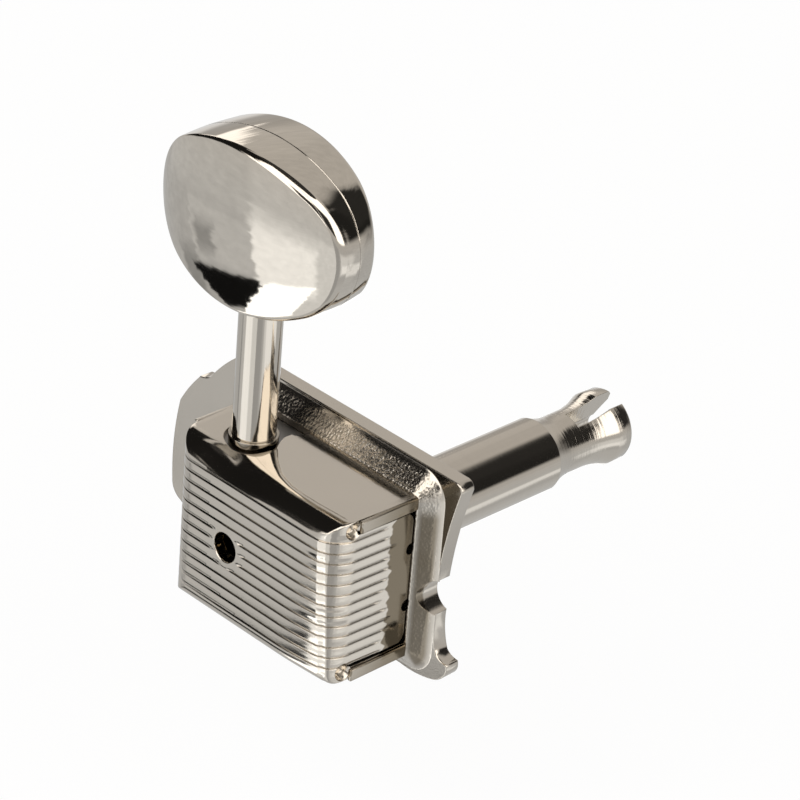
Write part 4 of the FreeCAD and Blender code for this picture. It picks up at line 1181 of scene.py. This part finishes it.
def make_studio(sizes, finishes):
    """Camera at the photograph's angle, pale floor and one soft lamp."""
    scene = bpy.context.scene
    scene.view_settings.view_transform = "Standard"
    camera = bpy.data.objects.new("studio_camera", bpy.data.cameras.new("studio_camera"))
    camera.data.sensor_width = 36.0
    camera.data.lens = sizes.lens
    camera.data.clip_start = 0.01
    right = Vector((0.6908, 0.7192, 0.0746)).normalized()
    ahead = Vector((-0.6017, 0.6290, -0.4923)).normalized()
    up = right.cross(ahead).normalized()
    right = ahead.cross(up).normalized()
    place = Matrix((right, up, -ahead)).transposed().to_4x4()
    place.translation = sizes.camera * MM
    camera.matrix_world = place
    scene.collection.objects.link(camera)
    scene.camera = camera
    level = PLATE_LOW.z - sizes.floor_drop
    half = sizes.floor_width / 2
    floor = working_object(stacked([[(x, y, z) for x, y in ((-half, -half), (half, -half),
                                                            (half, half), (-half, half))]
                                    for z in (level - 2.0, level)]), "studio_floor")
    floor.data.transform(Matrix.Scale(MM, 4))
    floor.data.materials.append(floor_finish(finishes))
    floor.visible_glossy = False
    make_world()
    lamp = bpy.data.lights.new("studio_lamp", "AREA")
    lamp.shape = "DISK"
    lamp.size = 0.5
    lamp.energy = 1.2
    holder = bpy.data.objects.new("studio_lamp", lamp)
    holder.matrix_world = Matrix.Translation((-0.25, -0.3, 0.6)) @ (
        Vector((0.25, 0.3, -0.6)).to_track_quat("-Z", "Y").to_matrix().to_4x4())
    holder.visible_glossy = False
    scene.collection.objects.link(holder)


# Operators and panel

class TUNER_OT_studio(bpy.types.Operator):
    """Set up the camera, the floor and the light"""

    bl_idname = "tuner.studio"
    bl_label = "Studio"

    def execute(self, context):
        make_studio(millimetres(context.scene.tuner_studio), context.scene.tuner_finishes)
        return {"FINISHED"}


class TUNER_OT_finishes(bpy.types.Operator):
    """Make the finishes and give them to the CAD pieces that stay as they are"""

    bl_idname = "tuner.finishes"
    bl_label = "Finishes"

    def execute(self, context):
        FINISHES.update(make_finishes(context.scene.tuner_finishes))
        for subpart in frame["record"]["subparts"]:
            node = frame["nodes"][subpart["node"]]
            for holder in node.material_slots:
                holder.material = FINISHES[subpart["material_slot"]]
        return {"FINISHED"}


class TUNER_OT_plate(bpy.types.Operator):
    """Make the stamped base plate"""

    bl_idname = "tuner.plate"
    bl_label = "Base plate"

    def execute(self, context):
        make_plate(millimetres(context.scene.tuner_plate))
        return {"FINISHED"}


class TUNER_OT_cover(bpy.types.Operator):
    """Make the ridged cover"""

    bl_idname = "tuner.cover"
    bl_label = "Cover"

    def execute(self, context):
        make_cover(millimetres(context.scene.tuner_cover))
        return {"FINISHED"}


class TUNER_OT_post(bpy.types.Operator):
    """Make the slotted string post"""

    bl_idname = "tuner.post"
    bl_label = "String post"

    def execute(self, context):
        make_post(millimetres(context.scene.tuner_post))
        return {"FINISHED"}


class TUNER_OT_knob(bpy.types.Operator):
    """Make both halves of the button"""

    bl_idname = "tuner.knob"
    bl_label = "Button"

    def execute(self, context):
        sizes = millimetres(context.scene.tuner_knob)
        for node, side in (("button_front", -1), ("button_rear", 1)):
            make_knob_half(sizes, node, side)
        return {"FINISHED"}


class TUNER_PT_panel(bpy.types.Panel):
    """Sizes, colours and steps of the tuning machine"""

    bl_idname = "TUNER_PT_panel"
    bl_label = "Tuning machine"
    bl_space_type = "VIEW_3D"
    bl_region_type = "UI"
    bl_category = "Tuner"

    def draw(self, context):
        for step in STEPS:
            self.layout.operator(step.bl_idname)
        for name in GROUPS:
            box = self.layout.box()
            sizes = getattr(context.scene, name)
            for prop in sizes.bl_rna.properties:
                if prop.identifier not in ("rna_type", "name"):
                    box.prop(sizes, prop.identifier)


GROUPS = {"tuner_studio": TunerStudioSizes, "tuner_finishes": TunerFinishes,
          "tuner_plate": TunerPlateSizes, "tuner_cover": TunerCoverSizes,
          "tuner_post": TunerPostSizes, "tuner_knob": TunerKnobSizes}
STEPS = (TUNER_OT_studio, TUNER_OT_finishes, TUNER_OT_plate, TUNER_OT_cover, TUNER_OT_post,
         TUNER_OT_knob)


def register():
    for group in (*GROUPS.values(), *STEPS, TUNER_PT_panel):
        bpy.utils.register_class(group)
    for name, group in GROUPS.items():
        setattr(bpy.types.Scene, name, bpy.props.PointerProperty(type=group))


def unregister():
    for name in GROUPS:
        delattr(bpy.types.Scene, name)
    for group in reversed((*GROUPS.values(), *STEPS, TUNER_PT_panel)):
        bpy.utils.unregister_class(group)


def main():
    register()
    bpy.ops.tuner.studio()
    bpy.ops.tuner.finishes()
    bpy.ops.tuner.plate()
    bpy.ops.tuner.cover()
    bpy.ops.tuner.post()
    bpy.ops.tuner.knob()


if __name__ == "__main__":
    main()
